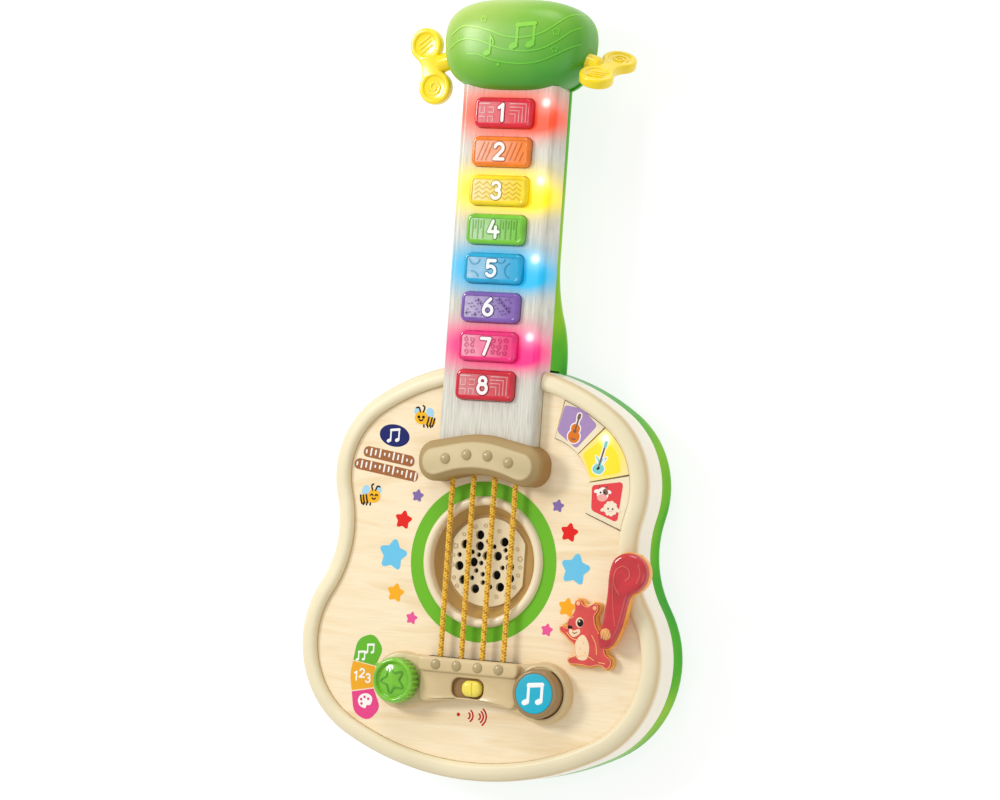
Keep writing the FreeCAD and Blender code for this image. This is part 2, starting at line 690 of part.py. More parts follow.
def neck_board():
    board = box((-26.5, -12, NECK_BOARD_Z), (26.5, 172, NECK_BOARD_Z + BOARD_THICKNESS))
    for place in NECK_SCREWS:
        board = board.cut(cylinder(place, BOSS_RADIUS + 0.4, NECK_BOARD_Z - 1, NECK_BOARD_Z + 3))
    return board


def neck_leds():
    leds = []
    for index in LED_BUTTONS:
        place = (LED_X, button_places()[index][1] + LED_RISE)
        base_z = NECK_BOARD_Z + BOARD_THICKNESS
        lens = cylinder(place, 1.5, base_z, base_z + 2.6)
        leds.append(fuse_all([lens, Part.makeSphere(1.5, vector(place[0], place[1], base_z + 2.6))]))
    return Part.makeCompound(leds)


# ---- nut, strings, bridge ----

def nut_outline(inset):
    """Arched band with round ends, the same shape at every inset."""
    half_x = NUT_HALF[0] - inset
    top_y = NUT_Y + NUT_HALF[1] - inset
    low_y = NUT_Y - NUT_HALF[1] + inset
    corner = NUT_CORNER - inset * 0.75
    shoulder_y = top_y + NUT_CROWN - NUT_END_DROP
    foot_y = low_y - NUT_END_DROP + 0.3
    points = [(0, top_y + NUT_CROWN, NUT_ARCH), (half_x, shoulder_y, corner), (half_x - 1.0, foot_y, corner),
              (0, low_y + NUT_CROWN - 1.0, NUT_ARCH), (-half_x + 1.0, foot_y, corner),
              (-half_x, shoulder_y, corner)]
    return rounded_polygon(points)


def stud(place, low_z, height):
    """Round stud with a domed top."""
    base = cylinder(place, 3.3, low_z, low_z + height)
    return round_level(base, low_z + height, min(1.6, height * 0.7))


def string_nut():
    bevel_z = NUT_TOP_Z - 3.4
    lower = prism(nut_outline(0), FACE_Z, bevel_z)
    base_wire = nut_outline(0)
    base_wire.translate(vector(0, 0, bevel_z))
    top_wire = nut_outline(4.6)
    top_wire.translate(vector(0, 0, NUT_TOP_Z))
    upper = Part.makeLoft([base_wire, top_wire], True, True)
    nut = lower.fuse(upper)
    cover_room = box((-NECK_HALF_WIDTH - NECK_GAP, NECK_COVER_END - NECK_GAP, FACE_Z - 1),
                     (NECK_HALF_WIDTH + NECK_GAP, 0, NECK_TOP_Z + 0.1))
    hollow = box((-28, -46, FACE_Z - 1), (28, NECK_COVER_END, NUT_TOP_Z - 5))
    nut = nut.cut(cover_room).cut(hollow)
    for x in STRING_X:
        y = -38.8 if abs(x) < 10 else -41.8
        nut = nut.fuse(stud((x, y), NUT_TOP_Z - 0.5, 2.3))
        hole = Part.makeCylinder(STRING_RADIUS + 0.05, 20, vector(x, -60, STRING_Z), vector(0, 1, 0))
        nut = nut.cut(hole)
    return nut.removeSplitter()


def string(x):
    return Part.makeCylinder(STRING_RADIUS, STRING_ENDS[1] - STRING_ENDS[0],
                             vector(x, STRING_ENDS[0], STRING_Z), vector(0, 1, 0))


def bridge():
    band_corners = [(-52, -156.3, 5), (52, -156.3, 5), (52, -189, 8), (30, -184.5, 30), (0, -179.0, 60),
                    (-30, -184.5, 30), (-52, -189, 8)]
    band = prism(rounded_polygon(band_corners), FACE_Z, BRIDGE_END_Z)
    deck_corners = [(-31, -156.3, 4), (31, -156.3, 4), (31, -183.0, 4), (0, -179.5, 60), (-31, -183.0, 4)]
    deck = prism(rounded_polygon(deck_corners), FACE_Z, BRIDGE_DECK_Z)
    strip = prism(rounded_rectangle((0, -160.6), (64, 8.6), 3.0), FACE_Z, BRIDGE_TOP_Z)
    strip = round_level(strip, BRIDGE_TOP_Z, 1.2)
    dial_base = cylinder(DIAL_CENTRE, 16.7, FACE_Z, BRIDGE_END_Z)
    collar = cylinder(MUSIC_CENTRE, 17.5, FACE_Z, BRIDGE_END_Z + 0.5)
    bridge_body = fuse_all([band, deck, strip, dial_base, collar])
    for x in STRING_X:
        bridge_body = bridge_body.fuse(stud((x, -160.6), BRIDGE_TOP_Z - 0.5, 1.9))
        hole = Part.makeCylinder(STRING_RADIUS + 0.05, 6, vector(x, -159, STRING_Z), vector(0, 1, 0))
        bridge_body = bridge_body.cut(hole)
    openings = [
        cylinder(DIAL_CENTRE, SHAFT_RADIUS + RUNNING_FIT, FACE_Z - 1, BRIDGE_TOP_Z),
        cylinder(MUSIC_CENTRE, MUSIC_RADIUS + 0.35, FACE_Z + 1.6, BRIDGE_TOP_Z),
        cylinder(MUSIC_CENTRE, 5.0, FACE_Z - 1, BRIDGE_TOP_Z),
        prism(rounded_rectangle(SLOT_CENTRE, SLOT_SIZE, 2.5), FACE_Z + 0.8, BRIDGE_TOP_Z),
        slider_opening(FACE_Z - 1, FACE_Z + 2),
    ]
    for opening in openings:
        bridge_body = bridge_body.cut(opening)
    return bridge_body.removeSplitter()


# ---- controls on the face ----

def mode_dial():
    knob = cylinder(DIAL_CENTRE, DIAL_RADIUS, BRIDGE_END_Z + 0.4, DIAL_TOP_Z)
    knob = round_level(knob, DIAL_TOP_Z, 1.5)
    grooves = []
    for index in range(24):
        angle = math.radians(15 * index + 7.5)
        place = (DIAL_CENTRE[0] + 14.3 * math.cos(angle), DIAL_CENTRE[1] + 14.3 * math.sin(angle))
        grooves.append(cylinder(place, 1.4, BRIDGE_END_Z + 2.5, DIAL_TOP_Z + 1))
    knob = knob.cut(Part.makeCompound(grooves))
    knob = knob.cut(cylinder(DIAL_CENTRE, 11.0, BRIDGE_END_Z, DIAL_TOP_Z - 2.2))
    shaft = cylinder(DIAL_CENTRE, SHAFT_RADIUS, BOARD_Z + 3.0, DIAL_TOP_Z - 1)
    return fuse_all([knob, shaft])


def shaft_clip(centre, shaft_radius, z_low):
    clip = cylinder(centre, shaft_radius + 2.6, z_low, z_low + 1.0)
    mouth = box((centre[0], centre[1] - 1.5, z_low - 1), (centre[0] + 10, centre[1] + 1.5, z_low + 2))
    return clip.cut(cylinder(centre, shaft_radius, z_low - 1, z_low + 2)).cut(mouth)


def volume_slider():
    rest = (SLOT_CENTRE[0] + (SLOT_SIZE[0] - SLIDER_SIZE[0]) / 2 - 0.3, SLOT_CENTRE[1])
    block = prism(rounded_rectangle(rest, SLIDER_SIZE, 2.4), FACE_Z + 1.1, BRIDGE_DECK_Z - 1.0)
    grip = prism(rounded_rectangle(rest, (8.6, 9.4), 2.4), BRIDGE_DECK_Z - 1.5, BRIDGE_DECK_Z + 2.4)
    grip = round_level(grip, BRIDGE_DECK_Z + 2.4, 1.4)
    stem = box((rest[0] - 1.6, rest[1] - 1.6, BOARD_Z + 4.0), (rest[0] + 1.6, rest[1] + 1.6, FACE_Z + 1.5))
    return fuse_all([block, grip, stem])


def music_button():
    cup = cylinder(MUSIC_CENTRE, MUSIC_RADIUS, FACE_Z + 4.2, MUSIC_TOP_Z - 0.4)
    cup = round_level(cup, MUSIC_TOP_Z - 0.4, 1.4)
    cup = cup.cut(cylinder(MUSIC_CENTRE, 11.5, MUSIC_TOP_Z - 1.6, MUSIC_TOP_Z + 1))
    cup = cup.cut(cylinder(MUSIC_CENTRE, 11.5, FACE_Z, MUSIC_TOP_Z - 3.6))
    stem = cylinder(MUSIC_CENTRE, 3.0, BOARD_Z + 6.5, MUSIC_TOP_Z - 3)
    return fuse_all([cup, stem])


def music_disc():
    disc = cylinder(MUSIC_CENTRE, 11.4, MUSIC_TOP_Z - 1.6, MUSIC_TOP_Z)
    return round_level(disc, MUSIC_TOP_Z, 0.6)


def mode_key(index):
    low = KEY_ANGLES[index] + 0.55
    high = KEY_ANGLES[index + 1] - 0.55
    low_z = KEY_TOP_Z - 2.6
    key = key_sector(KEY_INNER_RADIUS, KEY_OUTER_RADIUS - 1, low, high, low_z, KEY_TOP_Z)
    key = key.common(prism(guitar_outline(BEZEL_WIDTH + 0.35), low_z, KEY_TOP_Z))
    stem = cylinder(key_stem_places()[index], KEY_STEM_RADIUS, BOARD_Z + 7.6, low_z + 0.5)
    return fuse_all([key, stem])


def key_board():
    return key_sector(KEY_INNER_RADIUS + 3, 52.5, KEY_ANGLES[0] + 4, KEY_ANGLES[-1] - 4,
                      BOARD_Z + 2.0, BOARD_Z + 2.0 + BOARD_THICKNESS)


def key_pad():
    low_z = BOARD_Z + 2.0 + BOARD_THICKNESS
    sheet = key_sector(KEY_INNER_RADIUS + 4, 51.5, KEY_ANGLES[0] + 5, KEY_ANGLES[-1] - 5, low_z, low_z + 1.0)
    domes = [cylinder(place, 4.0, low_z + 0.5, low_z + 2.3) for place in key_stem_places()]
    return fuse_all([sheet] + domes)


def key_led():
    place = key_stem_places()[1]
    spot = (place[0] + 4.6, place[1] + 8.8)
    base_z = BOARD_Z + 3.0 + BOARD_THICKNESS
    lens = cylinder(spot, 1.5, base_z, base_z + 2.5)
    return fuse_all([lens, Part.makeSphere(1.5, vector(spot[0], spot[1], base_z + 2.5))])


# ---- squirrel and its tail lever ----

def squirrel_body():
    low_z = FACE_Z + 0.1
    top_z = SQUIRREL_TOP_Z
    pieces = [
        cylinder((71.0, -127.5), 11.0, low_z, top_z),
        cylinder((66.0, -117.0), 4.6, low_z, top_z),
        cylinder((78.0, -118.5), 4.8, low_z, top_z),
        capsule((77.0, -137.0), (76.5, -146.0), 10.5, low_z, top_z),
        capsule((60.5, -132.5), (69.0, -141.0), 3.4, low_z, top_z),
        capsule((65.0, -152.0), (75.0, -150.5), 4.0, low_z, top_z),
        capsule((78.0, -151.0), (89.0, -153.5), 4.4, low_z, top_z),
        cylinder(LEVER_PIVOT, 8.0, low_z, top_z),
    ]
    plate = fuse_all(pieces)
    return plate.cut(cylinder(LEVER_PIVOT, SHAFT_RADIUS + 0.4, low_z - 1, top_z + 1))


def tail_lever():
    pivot_x, pivot_y = LEVER_PIVOT
    stem_corners = [(pivot_x - 6.5, pivot_y + 3.0, 1.0), (84.3, -124.0, 20.0), (85.2, -100.0, 2.0),
                    (98.0, -106.0, 2.0), (95.6, -120.0, 20.0), (pivot_x + 7.4, pivot_y - 2.0, 1.0)]
    pieces = [
        cylinder(LEVER_PIVOT, 7.8, LEVER_BOTTOM_Z, LEVER_TOP_Z),
        prism(rounded_polygon(stem_corners), LEVER_BOTTOM_Z, LEVER_TOP_Z),
        cylinder(TAIL_BALL, TAIL_BALL_RADIUS, LEVER_BOTTOM_Z, LEVER_TOP_Z + 1.0),
        cylinder(LEVER_PIVOT, SHAFT_RADIUS, BOARD_Z, LEVER_BOTTOM_Z + 1),
    ]
    return fuse_all(pieces)


def acorn_cap():
    cap = cylinder(LEVER_PIVOT, 5.0, LEVER_TOP_Z, LEVER_TOP_Z + 1.8)
    return round_level(cap, LEVER_TOP_Z + 1.8, 1.2)


# ---- head and tuning pegs ----

def peg_placed(shape, side):
    """Move a peg piece from its own frame, axis along +X, to the head's left (-1) or right (1)."""
    placed = shape.copy()
    if side > 0:
        placed.rotate(vector(0, 0, 0), vector(1, 0, 0), PEG_REST_TURN)
        placed.rotate(vector(0, 0, 0), vector(0, 0, 1), -PEG_TILT)
    else:
        placed.rotate(vector(0, 0, 0), vector(0, 0, 1), 180 + PEG_TILT)
    placed.translate(vector(side * PEG_CENTRE[0], PEG_CENTRE[1], PEG_CENTRE[2]))
    return placed


def peg_outline():
    """Two round lobes joined by a waist that curves in, all arcs tangent."""
    waist_radius = ((PEG_LOBE_SPREAD ** 2 + PEG_WAIST ** 2 - PEG_LOBE_RADIUS ** 2)
                    / (2 * (PEG_LOBE_RADIUS - PEG_WAIST)))
    edges = []
    ends = {}
    for turn in (-1, 1):
        lobe = vector(0, turn * PEG_LOBE_SPREAD)
        for side in (-1, 1):
            hollow = vector(side * (PEG_WAIST + waist_radius), 0)
            ends[turn, side] = lobe + (hollow - lobe).normalize() * PEG_LOBE_RADIUS
        far = vector(0, turn * (PEG_LOBE_SPREAD + PEG_LOBE_RADIUS))
        edges.append(Part.Arc(ends[turn, -1], far, ends[turn, 1]).toShape())
    for side in (-1, 1):
        edges.append(Part.Arc(ends[-1, side], vector(side * PEG_WAIST, 0), ends[1, side]).toShape())
    return Part.Wire(Part.__sortEdges__(edges))


def tuning_peg(side):
    half = PEG_THICKNESS / 2
    paddle = prism(peg_outline(), -half, half)
    paddle = round_level(round_level(paddle, half, 0.9), -half, 0.9)
    hub = Part.makeCylinder(PEG_HUB_RADIUS, 21.0, vector(-25, 0, 0), vector(1, 0, 0))
    return peg_placed(fuse_all([paddle, hub]), side)


def peg_clip(side):
    ring = Part.makeCylinder(PEG_HUB_RADIUS + 2.4, 1.6, vector(-23.5, 0, 0), vector(1, 0, 0))
    ring = ring.cut(Part.makeCylinder(PEG_HUB_RADIUS, 4, vector(-25, 0, 0), vector(1, 0, 0)))
    return peg_placed(ring, side)


def head_cap():
    above_seam = box((-80, 150, NECK_SEAM_Z), (80, 240, 80))
    cap = head_solid(0).cut(head_solid(WALL)).common(above_seam)
    bosses = [cylinder(place, BOSS_RADIUS, NECK_SEAM_Z, HEAD_CENTRE[2] + HEAD_HALF[2] - WALL / 2)
              for place in HEAD_SCREWS]
    cap = cap.fuse(fuse_all(bosses))
    for place in HEAD_SCREWS:
        cap = cap.cut(cylinder(place, SCREW_RADIUS + PILOT_FIT, NECK_SEAM_Z - 1, NECK_SEAM_Z + 12))
    neck_room = box((-NECK_HALF_WIDTH - NECK_GAP, 150, NECK_SEAM_Z - 1),
                    (NECK_HALF_WIDTH + NECK_GAP, NECK_COVER_TOP + 2, NECK_TOP_Z + NECK_GAP))
    cap = cap.cut(neck_room)
    for side in (-1, 1):
        hole = Part.makeCylinder(PEG_HUB_RADIUS + RUNNING_FIT, 40, vector(-35, 0, 0), vector(1, 0, 0))
        cap = cap.cut(peg_placed(hole, side))
    return cap.removeSplitter()


# ---- boards and switches ----

def main_board():
    return box((-66, -203, BOARD_Z), (66, -145, BOARD_Z + BOARD_THICKNESS))


def board_switches():
    """Rotary switch, slide switch and push switch under the dial, slider and music button."""
    base_z = BOARD_Z + BOARD_THICKNESS
    rotary = box((DIAL_CENTRE[0] - 8, DIAL_CENTRE[1] - 8, base_z), (DIAL_CENTRE[0] + 8, DIAL_CENTRE[1] + 8, 33.5))
    rotary = rotary.cut(cylinder(DIAL_CENTRE, SHAFT_RADIUS + 0.15, BOARD_Z + 2.8, 40))
    slide = box((SLOT_CENTRE[0] - 12, SLOT_CENTRE[1] - 5, base_z), (SLOT_CENTRE[0] + 12, SLOT_CENTRE[1] + 5, 33.0))
    slide = slide.cut(box((SLOT_CENTRE[0] - 6.5, SLOT_CENTRE[1] - 2, BOARD_Z + 3.6),
                          (SLOT_CENTRE[0] + 6.5, SLOT_CENTRE[1] + 2, 40)))
    push = box((MUSIC_CENTRE[0] - 6, MUSIC_CENTRE[1] - 6, base_z), (MUSIC_CENTRE[0] + 6, MUSIC_CENTRE[1] + 6, 30.0))
    return Part.makeCompound([rotary, slide, push])


def board_chips():
    base_z = BOARD_Z + BOARD_THICKNESS
    chip = box((14, -200, base_z), (26, -188, base_z + 2.2))
    capacitors = [cylinder((x, -196), 3.0, base_z, base_z + 6.0) for x in (-52, -44, 54)]
    return Part.makeCompound([chip] + capacitors)


def lever_board():
    board = box((68, -146, BOARD_Z - 2), (96, -124, BOARD_Z - 2 + BOARD_THICKNESS))
    return board.cut(cylinder(LEVER_PIVOT, SHAFT_RADIUS + 0.5, BOARD_Z - 4, BOARD_Z + 3))


def build_all():
    os.makedirs("parts", exist_ok=True)
    save("rear_shell", rear_shell())
    save("rear_screws", rear_screws())
    save("battery_door", battery_door())
    save("battery_door_screws", door_screws())
    save("battery_cells", battery_cells())
    save("battery_contacts", battery_contacts())
    save("front_housing", front_housing())
    save("face_panel", face_panel())
    save("soundhole_lip", soundhole_lip())
    save("soundhole_cup", soundhole_cup())
    save("speaker_grille", speaker_grille())
    for name, shape in zip(("speaker_frame", "speaker_magnet", "speaker_cone"), speaker()):
        save(name, shape)
    save("neck_cover", neck_cover())
    for index, place in enumerate(button_places()):
        save("number_button_" + str(index + 1), number_button(place))
    save("neck_keypad", neck_keypad())
    save("neck_circuit_board", neck_board())
    save("neck_leds", neck_leds())
    save("string_nut", string_nut())
    for index, x in enumerate(STRING_X):
        save("string_" + str(index + 1), string(x))
    save("bridge", bridge())
    save("mode_dial", mode_dial())
    save("mode_dial_clip", shaft_clip(DIAL_CENTRE, SHAFT_RADIUS, DECK_Z - 1.4))
    save("volume_slider", volume_slider())
    save("music_button", music_button())
    save("music_button_disc", music_disc())
    save("music_button_spring", spring_sleeve(MUSIC_CENTRE, 8.0, 0.5, FACE_Z + 1.8, MUSIC_TOP_Z - 3.8))
    for index in range(3):
        save("mode_key_" + str(index + 1), mode_key(index))
    save("mode_key_board", key_board())
    save("mode_key_pad", key_pad())
    save("mode_key_led", key_led())
    save("squirrel_body", squirrel_body())
    save("squirrel_tail_lever", tail_lever())
    save("acorn_cap", acorn_cap())
    save("lever_clip", shaft_clip(LEVER_PIVOT, SHAFT_RADIUS, DECK_Z - 6.3))
    save("lever_board", lever_board())
    save("head_cap", head_cap())
    for side, word in ((-1, "left"), (1, "right")):
        save("tuning_peg_" + word, tuning_peg(side))
        save("tuning_peg_clip_" + word, peg_clip(side))
    save("main_circuit_board", main_board())
    save("board_switches", board_switches())
    save("board_components", board_chips())


build_all()
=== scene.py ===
import bmesh
import bpy
import json
import math
from mathutils import Matrix, Vector
from mathutils.geometry import tessellate_polygon


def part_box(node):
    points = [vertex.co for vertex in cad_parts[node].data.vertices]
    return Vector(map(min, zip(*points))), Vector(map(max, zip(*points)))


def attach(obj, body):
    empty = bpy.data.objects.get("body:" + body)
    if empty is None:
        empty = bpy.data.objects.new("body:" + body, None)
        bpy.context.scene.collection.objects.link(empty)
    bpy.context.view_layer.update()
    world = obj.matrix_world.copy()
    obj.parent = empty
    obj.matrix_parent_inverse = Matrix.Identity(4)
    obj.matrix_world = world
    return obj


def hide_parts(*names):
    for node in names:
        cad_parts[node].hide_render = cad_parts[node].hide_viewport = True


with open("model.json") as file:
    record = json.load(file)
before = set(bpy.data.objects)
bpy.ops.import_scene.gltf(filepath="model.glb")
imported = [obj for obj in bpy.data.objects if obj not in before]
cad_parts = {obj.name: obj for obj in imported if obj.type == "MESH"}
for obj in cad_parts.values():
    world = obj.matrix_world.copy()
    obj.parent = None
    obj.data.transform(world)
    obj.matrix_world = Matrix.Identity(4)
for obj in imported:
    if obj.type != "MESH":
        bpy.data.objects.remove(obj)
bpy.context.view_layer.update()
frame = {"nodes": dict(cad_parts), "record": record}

# Places and sizes are in millimetres until a piece is made; MM turns them into Blender's metres.
MM = 0.001

# ---------------------------------------------------------------- camera, floor and light

FOCAL_LENGTH = 136.4
SENSOR_WIDTH = 36.0
VIEW_TURN = math.radians(25.25)
VIEW_RISE = math.radians(-1.15)
VIEW_ROLL = math.radians(-4.04)
VIEW_DISTANCE = 2191.0
VIEW_ASIDE = (9.8, 93.7)


def box_of(node):
    low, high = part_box(node)
    return low / MM, high / MM


LIP_LOW, LIP_HIGH = box_of("soundhole_lip")
SOUND_HOLE = ((LIP_LOW.x + LIP_HIGH.x) / 2, (LIP_LOW.y + LIP_HIGH.y) / 2)
FACE_Z = box_of("face_panel")[1].z


def add_camera():
    towards = Vector((math.sin(VIEW_TURN) * math.cos(VIEW_RISE), math.sin(VIEW_RISE),
                      math.cos(VIEW_TURN) * math.cos(VIEW_RISE)))
    level = Vector((math.cos(VIEW_TURN), 0.0, -math.sin(VIEW_TURN)))
    upright = towards.cross(level)
    right = math.cos(VIEW_ROLL) * level - math.sin(VIEW_ROLL) * upright
    up = math.sin(VIEW_ROLL) * level + math.cos(VIEW_ROLL) * upright
    data = bpy.data.cameras.new("camera")
    data.lens = FOCAL_LENGTH
    data.sensor_width = SENSOR_WIDTH
    data.clip_end = 20.0
    camera = bpy.data.objects.new("camera", data)
    bpy.context.scene.collection.objects.link(camera)
    aim = Vector((*SOUND_HOLE, FACE_Z))
    place = aim + towards * VIEW_DISTANCE + right * VIEW_ASIDE[0] + up * VIEW_ASIDE[1]
    turn = Matrix((right, up, towards)).transposed().to_4x4()
    camera.matrix_world = Matrix.Translation(place * MM) @ turn
    bpy.context.scene.camera = camera


WORLD_STRENGTH = 0.61
# Name, place and size in metres, watts, colour.
LIGHTS = (("key", (-1.25, 0.55, 1.5), 0.6, 17.5, (1.0, 0.98, 0.95)), ("fill", (1.1, -0.5, 1.3), 1.2, 3.0, (1, 1, 1)),
          ("top", (-0.1, 1.5, 0.9), 0.8, 6.0, (1, 1, 1)))
FLOOR_REACH = 4.0
FLOOR_DROP = 0.0002
FLOOR_GREY = 0.24
FLOOR_GLOW = 0.8


def add_area_light(name, place, size, watts, colour):
    data = bpy.data.lights.new(name, "AREA")
    data.shape = "DISK"
    data.size = size
    data.energy = watts
    data.color = colour
    light = bpy.data.objects.new(name, data)
    bpy.context.scene.collection.objects.link(light)
    light.location = place
    light.rotation_euler = (-Vector(place)).to_track_quat("-Z", "Y").to_euler()


def add_studio():
    scene = bpy.context.scene
    scene.view_settings.view_transform = "Standard"
    world = bpy.data.worlds.new("studio")
    scene.world = world
    world.use_nodes = True
    background = world.node_tree.nodes["Background"]
    background.inputs["Color"].default_value = (1.0, 1.0, 1.0, 1.0)
    background.inputs["Strength"].default_value = WORLD_STRENGTH
    for light in LIGHTS:
        add_area_light(*light)
    mesh = bpy.data.meshes.new("floor")
    corners = [(x * FLOOR_REACH, y * FLOOR_REACH, 0) for x, y in ((-1, -1), (1, -1), (1, 1), (-1, 1))]
    mesh.from_pydata(corners, [], [(0, 1, 2, 3)])
    floor = bpy.data.objects.new("floor", mesh)
    scene.collection.objects.link(floor)
    floor.location.z = -FLOOR_DROP
    material = bpy.data.materials.new("floor")
    material.use_nodes = True
    shader = material.node_tree.nodes["Principled BSDF"]
    shader.inputs["Base Color"].default_value = (FLOOR_GREY, FLOOR_GREY, FLOOR_GREY, 1.0)
    shader.inputs["Roughness"].default_value = 0.7
    shader.inputs["Emission Color"].default_value = (1.0, 1.0, 1.0, 1.0)
    shader.inputs["Emission Strength"].default_value = FLOOR_GLOW
    mesh.materials.append(material)


# ---------------------------------------------------------------- materials

SOCKETS = {"rough": "Roughness", "coat": "Coat Weight", "coat_rough": "Coat Roughness", "metal": "Metallic",
           "clear": "Transmission Weight", "sheen": "Sheen Weight", "specular": "Specular IOR Level"}


class Finish:
    """A procedural material under construction. Its scales and places are in millimetres."""

    def __init__(self, name, **values):
        self.material = bpy.data.materials.new(name)
        self.material.use_nodes = True
        self.nodes = self.material.node_tree.nodes
        self.shader = self.nodes["Principled BSDF"]
        for key, value in values.items():
            self.shader.inputs[SOCKETS[key]].default_value = value
        self.place = self.nodes.new("ShaderNodeTexCoord").outputs["Object"]

    def feed(self, source, socket):
        """Link an output, or set a number, a direction or a colour."""
        if isinstance(source, bpy.types.NodeSocket):
            self.material.node_tree.links.new(source, socket)
        elif isinstance(source, (int, float)) or socket.type == "VECTOR":
            socket.default_value = source
        else:
            socket.default_value = (*source, 1.0)

    def node(self, kind, inputs, **settings):
        node = self.nodes.new("ShaderNode" + kind)
        for name, value in settings.items():
            setattr(node, name, value)
        for key, source in inputs.items():
            self.feed(source, node.inputs[key])
        return node

    def noise(self, scale, detail=2.0, roughness=0.5, distortion=0.0):
        if isinstance(scale, (int, float)):
            scale = (scale, scale, scale)
        stretch = self.node("Mapping", {"Scale": [factor / MM for factor in scale], "Vector": self.place})
        return self.node("TexNoise", {"Scale": 1.0, "Detail": detail, "Roughness": roughness,
                                      "Distortion": distortion, "Vector": stretch.outputs[0]}).outputs["Fac"]

    def ramp(self, factor, stops):
        node = self.node("ValToRGB", {"Fac": factor})
        elements = node.color_ramp.elements
        while len(elements) < len(stops):
            elements.new(0.5)
        for element, (position, colour) in zip(elements, stops):
            element.position = position
            element.color = (*colour, 1.0)
        return node.outputs["Color"]

    def mix(self, factor, first, second, blend="MIX"):
        return self.node("Mix", {0: factor, 6: first, 7: second}, data_type="RGBA", blend_type=blend).outputs[2]

    def math(self, operation, first, second=0.0):
        return self.node("Math", {0: first, 1: second}, operation=operation).outputs[0]

    def times(self, first, second):
        return self.math("MULTIPLY", first, second)

    def plus(self, first, second):
        return self.math("ADD", first, second)

    def spread(self, value, low, high, to_low=0.0, to_high=1.0, curve="LINEAR"):
        return self.node("MapRange", {"From Min": low, "From Max": high, "To Min": to_low, "To Max": to_high,
                                      "Value": value}, interpolation_type=curve).outputs["Result"]

    def axis(self, name):
        return self.math("DIVIDE", self.node("SeparateXYZ", {0: self.place}).outputs[name], MM)

    def near(self, point, reach):
        """1 at a point, falling smoothly to 0 at reach, which is given along x, y and z."""
        value = self.place
        for operation, numbers in (("SUBTRACT", point), ("DIVIDE", reach)):
            value = self.node("VectorMath", {0: value, 1: [number * MM for number in numbers]},
                              operation=operation).outputs[0]
        length = self.node("VectorMath", {0: value}, operation="LENGTH").outputs["Value"]
        return self.spread(length, 1.0, 0.0, curve="SMOOTHERSTEP")

    def colour(self, source):
        self.feed(source, self.shader.inputs["Base Color"])

    def gloss(self, grain, smoothest, roughest):
        self.feed(self.spread(grain, 0.3, 0.7, smoothest, roughest), self.shader.inputs["Roughness"])

    def emission(self, source, strength):
        self.feed(source, self.shader.inputs["Emission Color"])
        self.feed(strength, self.shader.inputs["Emission Strength"])

    def done(self, grain, smoothest, roughest, strength, distance):
        """Gloss and bump from one grain, then the material."""
        self.gloss(grain, smoothest, roughest)
        bump = self.node("Bump", {"Strength": strength, "Distance": distance * MM, "Height": grain})
        self.feed(bump.outputs["Normal"], self.shader.inputs["Normal"])
        return self.material


def shade(colour, factor):
    return [min(1.0, channel * factor) for channel in colour]


def hue(red, green, blue):
    """Linear colour from display values of 0 to 255."""
    values = [channel / 255 for channel in (red, green, blue)]
    return [value / 12.92 if value < 0.04 else ((value + 0.055) / 1.055) ** 2.4 for value in values]


def grained(name, cloud, stops, grain, gloss, bump, **values):
    """Colours spread by one noise; gloss and bump by another, or by the same one where grain is None."""
    finish = Finish(name, **values)
    drift = finish.noise(*cloud)
    finish.colour(finish.ramp(drift, stops))
    return finish.done(finish.noise(*grain) if grain else drift, *gloss, *bump)


def plastic(name, colour, rough=0.3, texture=0.04, **values):
    """Moulded plastic: faint colour drift, with fine grain in its gloss and surface."""
    return grained(name, (0.03, 3.0), [(0.35, shade(colour, 0.95)), (0.65, shade(colour, 1.05))], (1.4, 4.0),
                   (rough - 0.04, rough + 0.07), (texture, 0.05), **values)


def clear_plastic(name, colour, **values):
    """Tinted glossy plastic: its colour drifts between deeper and lighter."""
    return grained(name, (0.12, 2.0), [(0.3, shade(colour, 0.86)), (0.7, shade(colour, 1.12))], (2.0, 3.0),
                   (0.08, 0.16), (0.03, 0.04), coat=0.6, coat_rough=0.05, **values)


def ink(name, colour):
    """Printed ink: a fine speckle and an uneven gloss."""
    return grained(name, (3.0, 3.0), [(0.35, shade(colour, 0.9)), (0.65, colour)], None, (0.38, 0.5), (0.05, 0.03),
                   specular=0.15)


def string_material(name, light, dark):
    return grained(name, ((2.2, 1.2, 2.2), 2.0), [(0.35, dark), (0.6, light)], None, (0.5, 0.7), (0.3, 0.15), sheen=0.2)


def metal(name, colour, rough=0.3):
    finish = Finish(name, metal=1.0)
    streaks = finish.noise((0.4, 6.0, 0.4), detail=4.0)
    finish.colour(finish.mix(finish.noise(0.5), colour, shade(colour, 0.8)))
    return finish.done(streaks, rough - 0.08, rough + 0.12, 0.08, 0.05)


def wood():
    """Pale maple ply, its grain running across the guitar."""
    finish = Finish("maple", specular=0.3)
    figure = finish.noise((0.007, 0.045, 0.02), detail=4.0, distortion=1.6)
    broad = finish.ramp(figure, [(0.30, hue(240, 216, 173)), (0.48, hue(250, 232, 198)), (0.58, hue(247, 227, 190)),
                                 (0.74, hue(241, 217, 175))])
    fibres = finish.noise((0.06, 1.7, 0.5), detail=5.0, roughness=0.7)
    fine = finish.ramp(fibres, [(0.36, (0.86, 0.84, 0.80)), (0.58, (1.0, 1.0, 1.0))])
    finish.colour(finish.mix(0.4, broad, fine, "MULTIPLY"))
    return finish.done(fibres, 0.42, 0.56, 0.08, 0.06)


# ---------------------------------------------------------------- outlines

def on_circle(centre, radius, degrees):
    angle = math.radians(degrees)
    return centre[0] + radius * math.cos(angle), centre[1] + radius * math.sin(angle)


